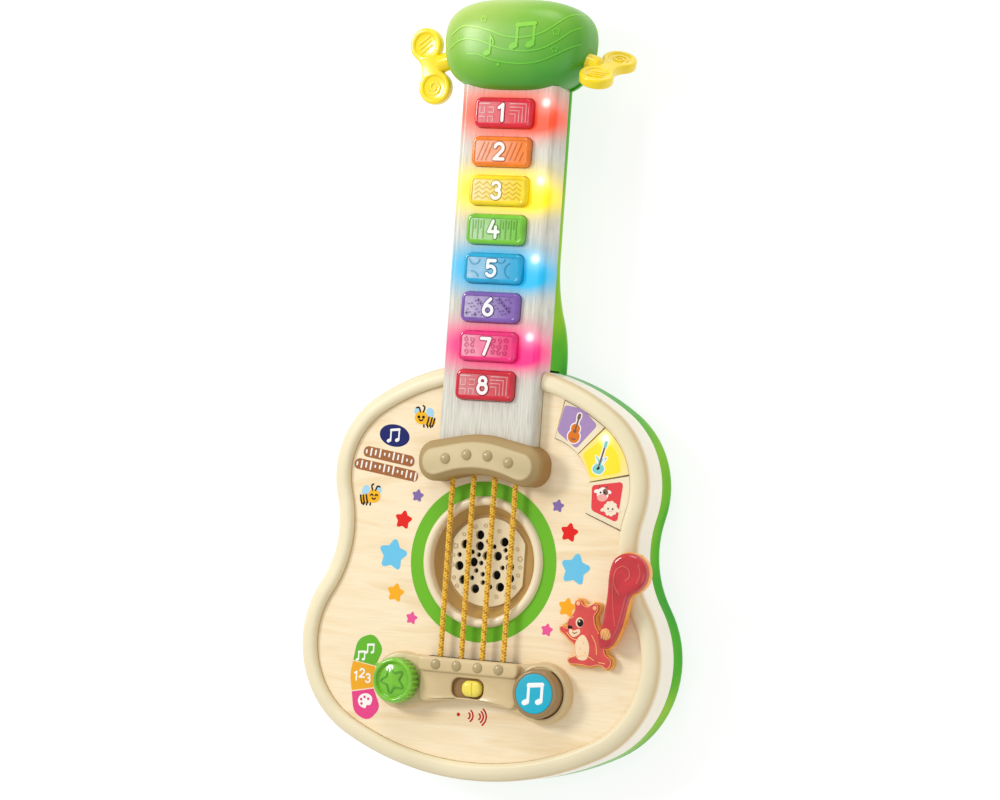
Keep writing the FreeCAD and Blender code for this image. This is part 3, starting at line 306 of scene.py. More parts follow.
def swung(centre, x, y, degrees):
    """The point x, y from a centre, turned about it."""
    lean = math.radians(degrees)
    return (centre[0] + x * math.cos(lean) - y * math.sin(lean), centre[1] + x * math.sin(lean) + y * math.cos(lean))


def arc(centre, radius, start, end, count=14):
    return [on_circle(centre, radius, start + (end - start) * index / count) for index in range(count + 1)]


def ellipse(centre, half, turn=0.0, count=40):
    """Closed outline with its half axes given, turned by degrees."""
    angles = (2 * math.pi * index / count for index in range(count))
    return [swung(centre, half[0] * math.cos(angle), half[1] * math.sin(angle), turn) for angle in angles]


def disc(centre, radius, count=40):
    return ellipse(centre, (radius, radius), count=count)


def rounded(corners, steps=7):
    """Closed outline through corners (x, y, radius), each turned by a tangent arc."""
    points = []
    for index, (x, y, radius) in enumerate(corners):
        corner = Vector((x, y))
        back = (Vector(corners[index - 1][:2]) - corner).normalized()
        ahead = (Vector(corners[(index + 1) % len(corners)][:2]) - corner).normalized()
        half = back.angle(ahead) / 2
        centre = corner + (back + ahead).normalized() * radius / math.sin(half)
        start = corner + back * radius / math.tan(half) - centre
        turn = math.copysign(math.pi - 2 * half, ahead.cross(back))
        for step in range(steps + 1):
            point = centre + Matrix.Rotation(turn * step / steps, 2) @ start
            points.append(tuple(point))
    return points


def rounded_box(centre, size, radius, steps=7):
    half_x = size[0] / 2
    half_y = size[1] / 2
    signs = ((-1, -1), (1, -1), (1, 1), (-1, 1))
    return rounded([(centre[0] + sx * half_x, centre[1] + sy * half_y, radius) for sx, sy in signs], steps)


def smooth(points, steps=6, closed=True):
    """Catmull-Rom curve through points."""
    path = [Vector(point) for point in points]
    path = [path[-1], *path, path[0], path[1]] if closed else [path[0], *path, path[-1]]
    result = []
    for p0, p1, p2, p3 in zip(path, path[1:], path[2:], path[3:]):
        for step in range(steps):
            t = step / steps
            point = 0.5 * (2 * p1 + (p2 - p0) * t + (2 * p0 - 5 * p1 + 4 * p2 - p3) * t ** 2
                           + (3 * p1 - p0 - 3 * p2 + p3) * t ** 3)
            result.append(tuple(point))
    if not closed:
        result.append(tuple(points[-1]))
    return result


def star(centre, radius, turn=0.0, waist=0.55, soft=0.16):
    """Plump five-pointed star with rounded points."""
    corners = []
    for index in range(10):
        reach = radius if index % 2 == 0 else radius * waist
        x, y = on_circle(centre, reach, 90 + turn + 36 * index)
        corners.append((x, y, radius * (soft if index % 2 == 0 else 0.06)))
    return rounded(corners, 4)


def inset(outline, distance):
    """Every point moved inwards, an anticlockwise outline getting smaller."""
    result = []
    for index, point in enumerate(outline):
        here = Vector(point)
        before = (here - Vector(outline[index - 1])).normalized()
        after = (Vector(outline[(index + 1) % len(outline)]) - here).normalized()
        inward = Vector((-(before.y + after.y), before.x + after.x))
        if inward.length < 1e-6:
            inward = Vector((-before.y, before.x))
        inward.normalize()
        spread = max(0.5, inward.dot(Vector((-before.y, before.x))))
        result.append(tuple(here + inward * distance / spread))
    return result


def flat(outline, z):
    return [(x, y, z) for x, y in outline]


def edged(outline, low, high, edge, steps=4):
    """Rings of a plate whose top edge is rounded by edge."""
    rings = [flat(outline, low), flat(outline, high - edge)]
    for step in range(1, steps + 1) if edge else ():
        turn = math.pi / 2 * step / steps
        rings.append(flat(inset(outline, edge * (1 - math.cos(turn))), high - edge + edge * math.sin(turn)))
    return rings


def moved(points, shift):
    return [(x + shift[0], y + shift[1]) for x, y in points]


# ---------------------------------------------------------------- meshes

class Shape:
    """Points in millimetres, the faces between them, and each face's material number and shading."""

    def __init__(self):
        self.points = []
        self.faces = []
        self.paints = []
        self.rounds = []
        self.paint = 0
        self.lift = 0.0

    def add(self, points):
        first = len(self.points)
        self.points.extend(Vector(point) for point in points)
        return list(range(first, len(self.points)))

    def face(self, corners, round_shading=True):
        self.faces.append(tuple(corners))
        self.paints.append(self.paint)
        self.rounds.append(round_shading and len(self.faces[-1]) <= 4)

    def join(self, other):
        first = len(self.points)
        self.points += other.points
        self.faces += [tuple(corner + first for corner in corners) for corners in other.faces]
        self.paints += other.paints
        self.rounds += other.rounds

    def band(self, low, high):
        for index in range(len(low)):
            after = (index + 1) % len(low)
            self.face((low[index], low[after], high[after], high[index]))

    def loft(self, rings, first=True, last=True):
        """Closed rings joined in order; first and last say which ends are closed."""
        rows = [self.add(ring) for ring in rings]
        for low, high in zip(rows, rows[1:]):
            self.band(low, high)
        if first:
            self.face(reversed(rows[0]))
        if last:
            self.face(rows[-1])

    def fill(self, loops, z):
        """Flat face, looking up, inside the first loop with the other loops as holes."""
        points = [Vector((x, y, z)) for loop in loops for x, y in loop]
        rows = self.add(points)
        polygons = [[Vector((x, y, 0.0)) for x, y in loop] for loop in loops]
        for triangle in tessellate_polygon(polygons):
            a, b, c = (points[index] for index in triangle)
            rising = (b - a).cross(c - a).z > 0
            self.face([rows[index] for index in (triangle if rising else reversed(triangle))], False)

    def plate(self, outline, low, high, edge=0.0, steps=4):
        """Flat plate whose top edge is rounded by edge."""
        self.loft(edged(outline, low, high, edge, steps))

    def ring_plate(self, outer, inner, low, high):
        """Flat ring between two outlines with the same number of points."""
        rows = [self.add(flat(outline, z))
                for outline, z in ((outer, low), (outer, high), (inner, high), (inner, low))]
        for index, row in enumerate(rows):
            self.band(row, rows[(index + 1) % len(rows)])

    def pierced(self, outline, holes, low, high):
        """Plate with holes through it."""
        self.fill([outline] + holes, high)
        self.band(self.add(flat(outline, low)), self.add(flat(outline, high)))
        for hole in holes:
            self.band(self.add(flat(hole, high)), self.add(flat(hole, low)))

    def turned(self, centre, profile, count=72, wave=None):
        """Turned solid from (radius, z) points, outside first; wave(angle, radius, z) gives another radius."""
        angles = [2 * math.pi * index / count for index in range(count)]
        rings = []
        for radius, z in profile:
            reaches = [wave(angle, radius, z) if wave else radius for angle in angles]
            rings.append([(centre[0] + reach * math.cos(angle), centre[1] + reach * math.sin(angle), z)
                          for reach, angle in zip(reaches, angles)])
        self.loft(rings)

    def stroke(self, path, width, low, high, closed=False, surface=None):
        """Raised line with round ends; surface(x, y) is the height of what lies below it."""
        points = [Vector(point) for point in path]
        half = width / 2
        stations = []
        for index, point in enumerate(points):
            before = points[index - 1] if closed or index else point
            after = points[(index + 1) % len(points)] if closed or index < len(points) - 1 else point
            stations.append((point, (after - before).normalized(), half))
        if not closed:
            for place, sign in ((0, -1), (-1, 1)):
                point, along, _ = stations[place]
                ends = [(point + along * sign * half * math.sin(turn), along, half * math.cos(turn))
                        for turn in (math.radians(30), math.radians(60), math.radians(90))]
                stations = ends[::-1] + stations if sign < 0 else stations + ends
        profile = ((-1, 0), (-1, 0.65), (-0.8, 1), (0.8, 1), (1, 0.65), (1, 0))
        rows = []
        for point, along, reach in stations:
            across = Vector((-along.y, along.x))
            row = []
            for side, rise in profile:
                spot = point + across * reach * side
                base = surface(spot.x, spot.y) if surface else 0.0
                row.append((spot.x, spot.y, base + low + (high - low) * rise))
            rows.append(self.add(row))
        for first, second in zip(rows, rows[1:] + rows[:1] if closed else rows[1:]):
            self.band(second, first)

    def tube(self, path, radius, sides):
        """Round tube along points in space, closed at both ends."""
        points = [Vector(point) for point in path]
        rings = []
        for index, point in enumerate(points):
            along = (points[min(index + 1, len(points) - 1)] - points[max(index - 1, 0)]).normalized()
            side = along.cross(Vector((0, 0, 1))).normalized()
            up = side.cross(along)
            ring = []
            for step in range(sides):
                angle = 2 * math.pi * step / sides
                ring.append(point + side * radius * math.cos(angle) + up * radius * math.sin(angle))
            rings.append(ring)
        self.loft(rings)

    def moved_by(self, matrix):
        self.points = [matrix @ point for point in self.points]


def make(name, shape, materials, body, replaces=(), smooth_under=38):
    """The shape as a piece that rides on a body of the frame."""
    mesh = bpy.data.meshes.new(name)
    mesh.from_pydata([point * MM for point in shape.points], [], shape.faces)
    for material in materials if isinstance(materials, (list, tuple)) else [materials]:
        mesh.materials.append(material)
    mesh.polygons.foreach_set("material_index", shape.paints)
    mesh.polygons.foreach_set("use_smooth", shape.rounds)
    work = bmesh.new()
    work.from_mesh(mesh)
    bmesh.ops.remove_doubles(work, verts=work.verts, dist=2e-6)
    work.to_mesh(mesh)
    work.free()
    mesh.set_sharp_from_angle(angle=math.radians(smooth_under))
    piece = bpy.data.objects.new(name, mesh)
    bpy.context.scene.collection.objects.link(piece)
    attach(piece, body)
    if replaces:
        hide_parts(*replaces)
    return piece


# ---------------------------------------------------------------- digits, notes and other small drawings

LAYER = 0.012


# Strokes of each digit one unit high, about its centre.
DIGITS = {
    "1": [[(-0.17, 0.27), (0.05, 0.44)], [(0.05, 0.44), (0.05, -0.44)]],
    "2": [arc((0, 0.19), 0.25, 165, -35), [on_circle((0, 0.19), 0.25, -35), (-0.26, -0.42)],
          [(-0.26, -0.42), (0.28, -0.42)]],
    "3": [arc((-0.02, 0.22), 0.22, 150, -80), arc((-0.02, -0.19), 0.25, 80, -150)],
    "4": [[(0.13, -0.44), (0.13, 0.12)], [(-0.04, 0.44), (-0.28, -0.14)], [(-0.28, -0.14), (0.3, -0.14)]],
    "5": [[(0.25, 0.42), (-0.17, 0.42)], [(-0.17, 0.42), (-0.21, 0.04)], arc((0.0, -0.16), 0.27, 135, -145)],
    "6": [arc((0, -0.17), 0.26, 0, 360, 24), smooth([(0.14, 0.45), (-0.12, 0.2), (-0.26, -0.14)], 5, False)],
    "7": [[(-0.25, 0.42), (0.26, 0.42)], [(0.26, 0.42), (-0.04, -0.44)]],
    "8": [arc((0, 0.23), 0.2, 0, 360, 24), arc((0, -0.19), 0.26, 0, 360, 24)]}


def glyph(shape, character, centre, height, width, low, high):
    for index, path in enumerate(DIGITS[character]):
        placed = [(centre[0] + x * height, centre[1] + y * height) for x, y in path]
        loop = math.dist(placed[0], placed[-1]) < 0.01
        shape.stroke(placed[:-1] if loop else placed, width, low, high + index * LAYER, closed=loop)


def beamed_notes(shape, centre, size, low, high, surface=None, line=0.13):
    """Two notes under one beam, size high."""
    beam = []
    for side, drop, rise in ((-1, -0.42, 0.42), (1, -0.34, 0.5)):
        head = (centre[0] + (side * 0.36 - 0.1) * size, centre[1] + drop * size)
        stem_x = head[0] + 0.13 * size
        beam.append((stem_x, centre[1] + rise * size))
        shape.stroke([(stem_x, head[1]), beam[-1]], line * size, low, high, surface=surface)
        shape.stroke([(head[0] - 0.06 * size, head[1] - 0.03 * size), (head[0] + 0.06 * size, head[1] + 0.03 * size)],
                     0.27 * size, low, high + LAYER, surface=surface)
    shape.stroke(beam, line * 1.5 * size, low, high + 2 * LAYER, surface=surface)


def single_note(shape, centre, size, low, high, surface=None):
    def at(x, y):
        return centre[0] + x * size, centre[1] + y * size

    stem_x = centre[0] + 0.13 * size
    flag = [(stem_x, centre[1] + 0.45 * size), (stem_x + 0.16 * size, centre[1] + 0.2 * size),
            (stem_x + 0.12 * size, centre[1] - 0.02 * size)]
    for layer, (path, width) in enumerate((([at(0.13, -0.35), at(0.13, 0.45)], 0.12),
                                           ([at(-0.08, -0.38), at(0.04, -0.34)], 0.3),
                                           (smooth(flag, 4, False), 0.1))):
        shape.stroke(path, width * size, low, high + layer * LAYER, surface=surface)


# ---------------------------------------------------------------- neck: cover and number buttons

def middle(node):
    low, high = box_of(node)
    return (low.x + high.x) / 2, (low.y + high.y) / 2


BUTTON_NAMES = [f"number_button_{number}" for number in range(1, 9)]
BUTTON_SIZE = (37.0, 17.5)
BUTTON_CORNER = 3.8
BUTTON_EDGE = 1.9
BUTTON_RIM = 2.6
DIGIT_HEIGHT = 10.4
BUTTON_TOP_Z = box_of(BUTTON_NAMES[0])[1].z
COVER_HIGH = box_of("neck_cover")[1]
LED_X = 24.0
LED_RISE = 6.6
NECK_GLOW = 0.32
LAMP_GLOW = 0.6
LIT_BUTTONS = {0: hue(236, 72, 30), 2: hue(255, 226, 0), 4: hue(0, 172, 220), 6: hue(236, 20, 120)}
BUTTON_HUES = [hue(220, 10, 46), hue(248, 128, 22), hue(255, 218, 0), hue(116, 196, 48), hue(0, 166, 214),
               hue(124, 88, 172), hue(236, 34, 118), hue(206, 16, 44)]
BUTTON_SLOTS = ["clear_red", "clear_orange", "clear_yellow", "clear_green", "clear_blue", "clear_purple",
                "clear_pink", "clear_crimson"]


def neck_material():
    """Milky plastic with a fine lengthwise grain, lit from below beside buttons 1, 3, 5 and 7."""
    finish = Finish("milky_neck", coat=0.3, coat_rough=0.2)
    streaks = finish.noise((1.1, 0.05, 0.2), detail=5.0, roughness=0.7)
    base = finish.ramp(streaks, [(0.3, hue(188, 184, 170)), (0.5, hue(212, 210, 197)), (0.7, hue(230, 228, 217))])
    glow = (0.0, 0.0, 0.0)
    strength = 0.0
    spots = 0.0
    for index, colour in LIT_BUTTONS.items():
        y = middle(BUTTON_NAMES[index])[1]
        wide = finish.near((0, y, COVER_HIGH.z), (74, 27, 60))
        strong = finish.near((22, y - 4.0, COVER_HIGH.z), (26, 15, 60))
        amount = finish.plus(finish.times(wide, 1.15), finish.times(strong, 0.4))
        amount = finish.math("MINIMUM", amount, 1.0)
        base = finish.mix(amount, base, colour)
        glow = finish.mix(amount, glow, colour)
        strength = finish.math("MAXIMUM", strength, amount)
        halo = finish.near((LED_X, y + LED_RISE, COVER_HIGH.z), (16, 16, 40))
        sharp = finish.math("POWER", halo, 12.0)
        soft = finish.times(finish.math("POWER", halo, 2.5), 0.45)
        spots = finish.math("MAXIMUM", spots, finish.math("MAXIMUM", sharp, soft))
    finish.colour(base)
    lit = finish.mix(spots, glow, (1.0, 1.0, 1.0))
    finish.emission(lit, finish.plus(finish.times(strength, NECK_GLOW), finish.times(spots, LAMP_GLOW)))
    return finish.done(streaks, 0.26, 0.42, 0.3, 0.15)


def maze():
    paths = []
    for step in range(4):
        reach = 14.6 - 2.2 * step
        top = 5.2 - 2.0 * step
        paths.append([(4.4, top), (reach, top), (reach, -5.2)])
    paths += [[(-15.2, 5.0), (-9.0, 5.0)], [(-14.8, 2.9), (-14.8, -0.4), (-11.8, -0.4), (-11.8, 2.9)],
              [(-9.2, 2.9), (-6.0, 2.9), (-6.0, 0.0), (-9.2, 0.0)], [(-15.2, -2.6), (-11.6, -2.6), (-11.6, -5.2)],
              [(-9.4, -5.2), (-9.4, -2.4), (-6.4, -2.4), (-6.4, -5.2)]]
    return paths


def stripes():
    return [[(x, -5.0), (x + 4.0, 5.0)] for x in (-14.6, -11.8, -9.0, 3.0, 6.2, 9.4)] + [[(12.6, -5.0), (14.4, -0.5)]]


def zigzags():
    paths = []
    for y in (-4.2, -1.5, 1.2, 3.9):
        paths.append([(-14.4 + 2.4 * step, y + (0.9 if step % 2 else -0.9)) for step in range(13)])
    return paths


def piano():
    paths = [[(x, -5.2), (x, 5.2)] for x in (-14.2, -10.8, -7.4, 3.4, 6.8, 10.2, 13.6)]
    return paths + [[(x, 0.6), (x, 4.6)] for x in (-12.5, -9.1, 5.1, 8.5, 11.9)]


def blobs():
    return [arc((-11.5, 5.5), 3.4, 190, 350), arc((-13, -6.5), 4.6, 20, 90), arc((12.5, -1.0), 4.4, 110, 250),
            arc((5.0, 6.2), 3.0, 200, 340)]


def sparkles():
    paths = []
    for index in range(46):
        x = -14.2 + 28.4 * ((index * 0.618) % 1.0)
        y = -5.0 + 10.0 * ((index * 0.271 + 0.13) % 1.0)
        reach = 0.28 if index % 4 else 0.8
        paths.append([(x - reach, y), (x + reach, y)])
        if reach > 0.5:
            paths.append([(x, y - reach), (x, y + reach)])
    return paths


def swirls():
    paths = []
    for index, x in enumerate((-13.0, -9.0, 4.2, 8.0, 11.8)):
        for y in (-3.4, 0.2, 3.6):
            start = 60 * index + 25 * y
            paths.append([on_circle((x, y), 1.5 - 0.1 * step, start + 34 * step) for step in range(10)])
    return paths


BUTTON_PATTERNS = [maze, stripes, zigzags, piano, blobs, sparkles, swirls, maze]


def button_with_painted_highlight(name, colour, tint, left, right, centre_x):
    """The button's colour with a painted highlight: paler towards its left end."""
    finish = Finish(name, coat=0.6, coat_rough=0.08)
    across = finish.spread(finish.axis("X"), centre_x - 15, centre_x + 13, left, right)
    uneven = finish.times(across, finish.spread(finish.noise(0.25), 0.3, 0.7, 0.75, 1.2))
    finish.colour(finish.mix(uneven, colour, tint))
    finish.gloss(finish.noise(1.5), 0.12, 0.2)
    return finish.material


def number_buttons():
    top = BUTTON_TOP_Z
    panel = top - 0.45
    for index, name in enumerate(BUTTON_NAMES):
        x, y = middle(name)
        colour = BUTTON_HUES[index]
        tint = [0.5 + 0.5 * channel for channel in colour]
        outline = rounded_box((x, y), BUTTON_SIZE, BUTTON_CORNER)
        shape = Shape()
        rings = edged(outline, COVER_HIGH.z - 3.0, top, BUTTON_EDGE, 5)
        rings += [flat(inset(outline, distance), z) for distance, z in
                  ((2.2, top - 0.02), (2.45, top - 0.2), (BUTTON_RIM, panel))]
        shape.loft(rings, last=False)
        shape.paint = 1
        shape.face(shape.add(flat(inset(outline, BUTTON_RIM), panel)))
        shape.paint = 2
        for path in BUTTON_PATTERNS[index]():
            shape.stroke(moved(path, (x, y)), 0.8, panel - 0.1, panel + 0.3)
        number = str(index + 1)
        for paint, width, height in ((3, 3.1, -0.15), (4, 2.2, -0.05)):
            shape.paint = paint
            glyph(shape, number, (x - 0.8, y), DIGIT_HEIGHT, width, panel - 0.1, top + height)
        body = clear_plastic("button_" + number, colour)
        # Floor and relief both get a painted highlight, paler towards the button's left end.
        if BUTTON_PATTERNS[index] is maze:
            floor = button_with_painted_highlight("button_maze_floor_" + number, colour, tint, 0.42, 0.06, x)
            relief = button_with_painted_highlight("button_maze_" + number, colour, tint, 1.0, 0.6, x)
        else:
            floor = button_with_painted_highlight("button_floor_" + number, colour, tint, 0.75, 0.06, x)
            relief = button_with_painted_highlight("button_relief_" + number, shade(colour, 0.72), tint, 0.3, 0.0, x)
        rim = ink("digit_rim_" + number, shade(colour, 0.5))
        fill = ink("digit_" + number, [0.8 + 0.2 * channel for channel in tint])
        make("button_cap_" + number, shape, [body, floor, relief, rim, fill], name, [name])


# ---------------------------------------------------------------- head and tuning pegs

HEAD_LOW, HEAD_HIGH = box_of("head_cap")
HEAD_HALF = ((HEAD_HIGH.x - HEAD_LOW.x) / 2, (HEAD_HIGH.y - HEAD_LOW.y) / 2, 22.0)
HEAD_CENTRE = (0.0, (HEAD_HIGH.y + HEAD_LOW.y) / 2, HEAD_HIGH.z - HEAD_HALF[2])
HEAD_SQUARENESS = 2.8
HEAD_PILLOW = 3.0
HEAD_TAPER = 0.04
HEAD_SIDES = 144


def head_ring(level):
    scale = (1 - abs(level) ** HEAD_PILLOW) ** (1 / HEAD_PILLOW)
    ring = []
    for index in range(HEAD_SIDES):
        angle = 2 * math.pi * index / HEAD_SIDES
        across = math.copysign(abs(math.cos(angle)) ** (2 / HEAD_SQUARENESS), math.cos(angle))
        along = math.copysign(abs(math.sin(angle)) ** (2 / HEAD_SQUARENESS), math.sin(angle))
        ring.append((HEAD_CENTRE[0] + HEAD_HALF[0] * scale * across * (1 + HEAD_TAPER * along),
                     HEAD_CENTRE[1] + HEAD_HALF[1] * scale * along, HEAD_CENTRE[2] + HEAD_HALF[2] * level))
    return ring


def head_height(x, y):
    """Height of the head's front above a point."""
    along = (y - HEAD_CENTRE[1]) / HEAD_HALF[1]
    across = (x - HEAD_CENTRE[0]) / HEAD_HALF[0] / (1 + HEAD_TAPER * along)
    scale = (abs(across) ** HEAD_SQUARENESS + abs(along) ** HEAD_SQUARENESS) ** (1 / HEAD_SQUARENESS)
    return HEAD_CENTRE[2] + HEAD_HALF[2] * max(0.0, 1 - scale ** HEAD_PILLOW) ** (1 / HEAD_PILLOW)


STAVE_LINES = [
    [(-37.0, 4.5), (-29.0, 9.5), (-20.5, 9.3), (-10.5, 7.2), (-1.0, 4.2), (9.0, 3.4), (18.5, 5.0), (26.0, 8.5),
     (31.5, 13.0), (36.0, 17.0), (40.0, 19.0)],
    [(-38.5, -3.5), (-30.5, 1.2), (-24.0, 2.2), (-14.5, 0.8), (-6.0, -2.3), (4.5, -4.1), (14.5, -4.3), (24.0, -2.2),
     (32.5, 2.8), (38.5, 8.0), (42.5, 10.5)],
    [(-24.5, -6.6), (-16.5, -6.8), (-9.5, -9.3), (0.0, -11.0), (11.0, -11.6), (21.5, -10.0), (30.0, -6.4),
     (37.5, -2.0), (43.0, 1.0)],
]


def head_cap():
    """Glossy green pillow with raised wavy stave lines, notes and small stars."""
    shape = Shape()
    levels = []
    bottom = (HEAD_LOW.z - HEAD_CENTRE[2]) / HEAD_HALF[2]
    for step in range(34):
        angle = math.pi / 2 * step / 34
        levels.append(bottom + (1 - bottom) * math.sin(angle))
    shape.loft([head_ring(level) for level in levels], first=False)
    shape.paint = 1
    for line in STAVE_LINES:
        shape.stroke(smooth(moved(line, HEAD_CENTRE[:2]), 6, False), 0.9, -0.4, 0.45, surface=head_height)
    beamed_notes(shape, (HEAD_CENTRE[0] + 12.0, HEAD_CENTRE[1] + 4.5), 14.5, -0.4, 0.6, head_height)
    single_note(shape, (HEAD_CENTRE[0] - 11.0, HEAD_CENTRE[1] - 1.5), 12.0, -0.4, 0.5, head_height)
    for x, y, size in ((30.6, 7.3, 2.6), (30.4, -2.8, 2.2), (-30.4, 2.6, 1.8), (-15.3, 13.9, 2.2)):
        outline = star((HEAD_CENTRE[0] + x, HEAD_CENTRE[1] + y), size, 10)
        shape.stroke(outline, 0.6, -0.4, 0.35, closed=True, surface=head_height)
    shape.stroke([(HEAD_CENTRE[0] - 3.9, HEAD_CENTRE[1] - 12.5), (HEAD_CENTRE[0] - 3.7, HEAD_CENTRE[1] - 12.4)], 2.0,
                 -0.4, 0.4, surface=head_height)
    # The raised lines take this green 1.4 times lighter: a painted highlight on the lines.
    green = head_green_with_painted_light("head_green", 1.0)
    lines = head_green_with_painted_light("head_lines", 1.4)
    make("head_front", shape, [green, lines], "guitar", ["head_cap"])


def head_green_with_painted_light(name, lift):
    """Green, paler along the top as a painted highlight and deeper towards the lower right as painted shade."""
    finish = Finish(name, coat=0.1, coat_rough=0.2)
    # Painted light: paler with higher y and deeper with higher x, loosened by a drifting cloud.
    across = finish.times(finish.axis("X"), -0.5)
    rise = finish.times(finish.axis("Y"), 0.9)
    cloud = finish.times(finish.noise(0.03, detail=2.0), 22.0)
    painted_light_slope = finish.plus(finish.plus(rise, across), cloud)
    middle_value = 0.9 * HEAD_CENTRE[1] + 11.0
    place = finish.spread(painted_light_slope, middle_value - 36, middle_value + 36)
    finish.colour(finish.ramp(place, [(0.05, shade(hue(66, 154, 44), lift)), (0.35, shade(hue(96, 172, 44), lift)),
                                      (0.6, shade(hue(128, 188, 56), lift)), (0.92, shade(hue(178, 208, 100), lift))]))
    grain = finish.noise(1.2, detail=4.0)
    return finish.done(grain, 0.3, 0.4, 0.03, 0.05)


PEG_CENTRE = (56.5, 187.0, 39.7)
PEG_TILT = math.radians(17.0)
PEG_REST_TURN = math.radians(-62.0)
PEG_LOBE_RADIUS = 10.0
PEG_LOBE_SPREAD = 13.0
PEG_WAIST = 5.5
PEG_HALF_THICKNESS = 3.0
PEG_HUB_RADIUS = 5.5
PEG_EDGE = 1.3
PEG_DISH_RADIUS = 7.4


def peg_outline():
    """Two round lobes joined by a waist that curves in."""
    hollow = (PEG_LOBE_SPREAD ** 2 + PEG_WAIST ** 2 - PEG_LOBE_RADIUS ** 2) / (2 * (PEG_LOBE_RADIUS - PEG_WAIST))
    lean = math.degrees(math.atan2(PEG_LOBE_SPREAD, PEG_WAIST + hollow))
    points = arc((PEG_WAIST + hollow, 0), hollow, 180 + lean, 180 - lean, 12)[:-1]
    points += arc((0, PEG_LOBE_SPREAD), PEG_LOBE_RADIUS, -lean, 180 + lean, 30)[:-1]
    points += arc((-PEG_WAIST - hollow, 0), hollow, lean, -lean, 12)[:-1]
    points += arc((0, -PEG_LOBE_SPREAD), PEG_LOBE_RADIUS, 180 - lean, 360 + lean, 30)[:-1]
    return points


def peg_face(shape, up):
    """One face of a peg: rounded edge, two dished discs and what is raised in them."""
    outline = peg_outline()
    top = PEG_HALF_THICKNESS
    face = Shape()
    face.loft(edged(outline, 0.0, top, PEG_EDGE), first=False, last=False)
    dishes = [disc((0, side * PEG_LOBE_SPREAD), PEG_DISH_RADIUS, 32) for side in (-1, 1)]
    face.fill([inset(outline, PEG_EDGE)] + dishes, top)
    for dish in dishes:
        rows = [face.add(flat(inset(dish, distance), z)) for distance, z in
                ((0, top), (0.35, top - 0.2), (0.7, top - 0.8), (1.1, top - 0.9))]
        for low, high in zip(rows, rows[1:]):
            face.band(low, high)
        face.face(rows[-1])
    for offset in (-2.6, 0.2, 3.0):
        face.stroke([(-3.6, -PEG_LOBE_SPREAD + offset - 1.6), (3.6, -PEG_LOBE_SPREAD + offset + 1.2)], 1.1,
                    top - 1.0, top - 0.3)
    spiral = [on_circle((0, PEG_LOBE_SPREAD), 4.6 - 0.13 * step, 20 * step) for step in range(28)]
    face.stroke(spiral, 1.1, top - 1.0, top - 0.3)
    if not up:
        face.moved_by(Matrix.Rotation(math.pi, 4, "Y"))
    shape.join(face)


def tuning_pegs():
    yellow = plastic("peg_yellow", hue(255, 222, 10), 0.22, coat=0.4)
    for side, word in ((-1, "left"), (1, "right")):
        shape = Shape()
        peg_face(shape, True)
        peg_face(shape, False)
        hub = Shape()
        profile = [(PEG_HUB_RADIUS, -25.0), (PEG_HUB_RADIUS, -6.5), (PEG_HUB_RADIUS - 0.6, -5.2),
                   (PEG_HUB_RADIUS - 2.2, -4.2)]
        hub.turned((0, 0), profile, 40)
        hub.moved_by(Matrix.Rotation(math.pi / 2, 4, "Y"))
        shape.join(hub)
        if side > 0:
            turn = Matrix.Rotation(-PEG_TILT, 4, "Z") @ Matrix.Rotation(PEG_REST_TURN, 4, "X")
        else:
            turn = Matrix.Rotation(math.pi + PEG_TILT, 4, "Z")
        place = Matrix.Translation((side * PEG_CENTRE[0], PEG_CENTRE[1], PEG_CENTRE[2]))
        shape.moved_by(place @ turn)
        make("peg_" + word, shape, yellow, "tuning_peg_" + word, ["tuning_peg_" + word])


# ---------------------------------------------------------------- nut, strings and bridge

NUT_TOP_Z = 59.5
NUT_Y = -40.4
NUT_HALF = (39.5, 10.4)
NUT_CORNER = 10.6
STRING_TURNS = 20
STRING_LOOSENESS = 1.25
STRING_NAMES = [f"string_{number}" for number in range(1, 5)]
STRING_X = [middle(name)[0] for name in STRING_NAMES]


def nut_outline(distance):
    """The nut's arched band, moved in by distance."""
    half_x = NUT_HALF[0] - distance
    corner = NUT_CORNER - 0.75 * distance
    top = NUT_Y + NUT_HALF[1] - distance
    low = NUT_Y - NUT_HALF[1] + distance
    return rounded([(0, top + 4.6, 60.0), (-half_x, top - 3.4, corner), (-half_x + 1.0, low - 7.7, corner),
                    (0, low + 3.6, 60.0), (half_x - 1.0, low - 7.7, corner), (half_x, top - 3.4, corner)], 9)


def stud(shape, centre, low, radius=3.2, rise=2.3):
    profile = [(radius, low - 0.5)]
    for step in range(7):
        turn = math.pi / 2 * step / 6.2
        profile.append((radius * math.cos(turn), low + rise * math.sin(turn)))
    shape.turned(centre, profile, 32)


def nut_tan_with_painted_light():
    """Tan plastic, paler on the raised top as a painted highlight and darker down the sloping sides as painted shade.
    """
    finish = Finish("nut_tan", specular=0.3)
    height = finish.spread(finish.axis("Z"), 58.6, NUT_TOP_Z - 0.2)
    painted_light_slope = finish.spread(finish.axis("Z"), 52.0, 57.0)
    drift = finish.ramp(finish.noise(0.03), [(0.35, hue(160, 122, 68)), (0.65, hue(168, 130, 76))])
    side = finish.mix(painted_light_slope, drift, hue(172, 146, 98))
    finish.colour(finish.mix(height, side, hue(206, 187, 144)))
    grain = finish.noise(1.4, detail=4.0)
    return finish.done(grain, 0.42, 0.52, 0.04, 0.05)


STUD_TAN = plastic("stud_tan", hue(178, 158, 112), 0.3, coat=0.2)


def string_nut(material):
    shape = Shape()
    levels = [(0.0, FACE_Z), (0.0, 54.2), (0.12, 55.0), (0.5, 55.7), (1.1, 56.2), (4.3, 58.9), (4.7, 59.2),
              (5.1, NUT_TOP_Z)]
    shape.loft([flat(nut_outline(distance), z) for distance, z in levels])
    shape.paint = 1
    for x in STRING_X:
        stud(shape, (x, -38.8 if abs(x) < 10 else -41.8), NUT_TOP_Z - 0.4, 3.3, 2.1)
    make("nut_body", shape, [material, STUD_TAN], "guitar", ["string_nut"])


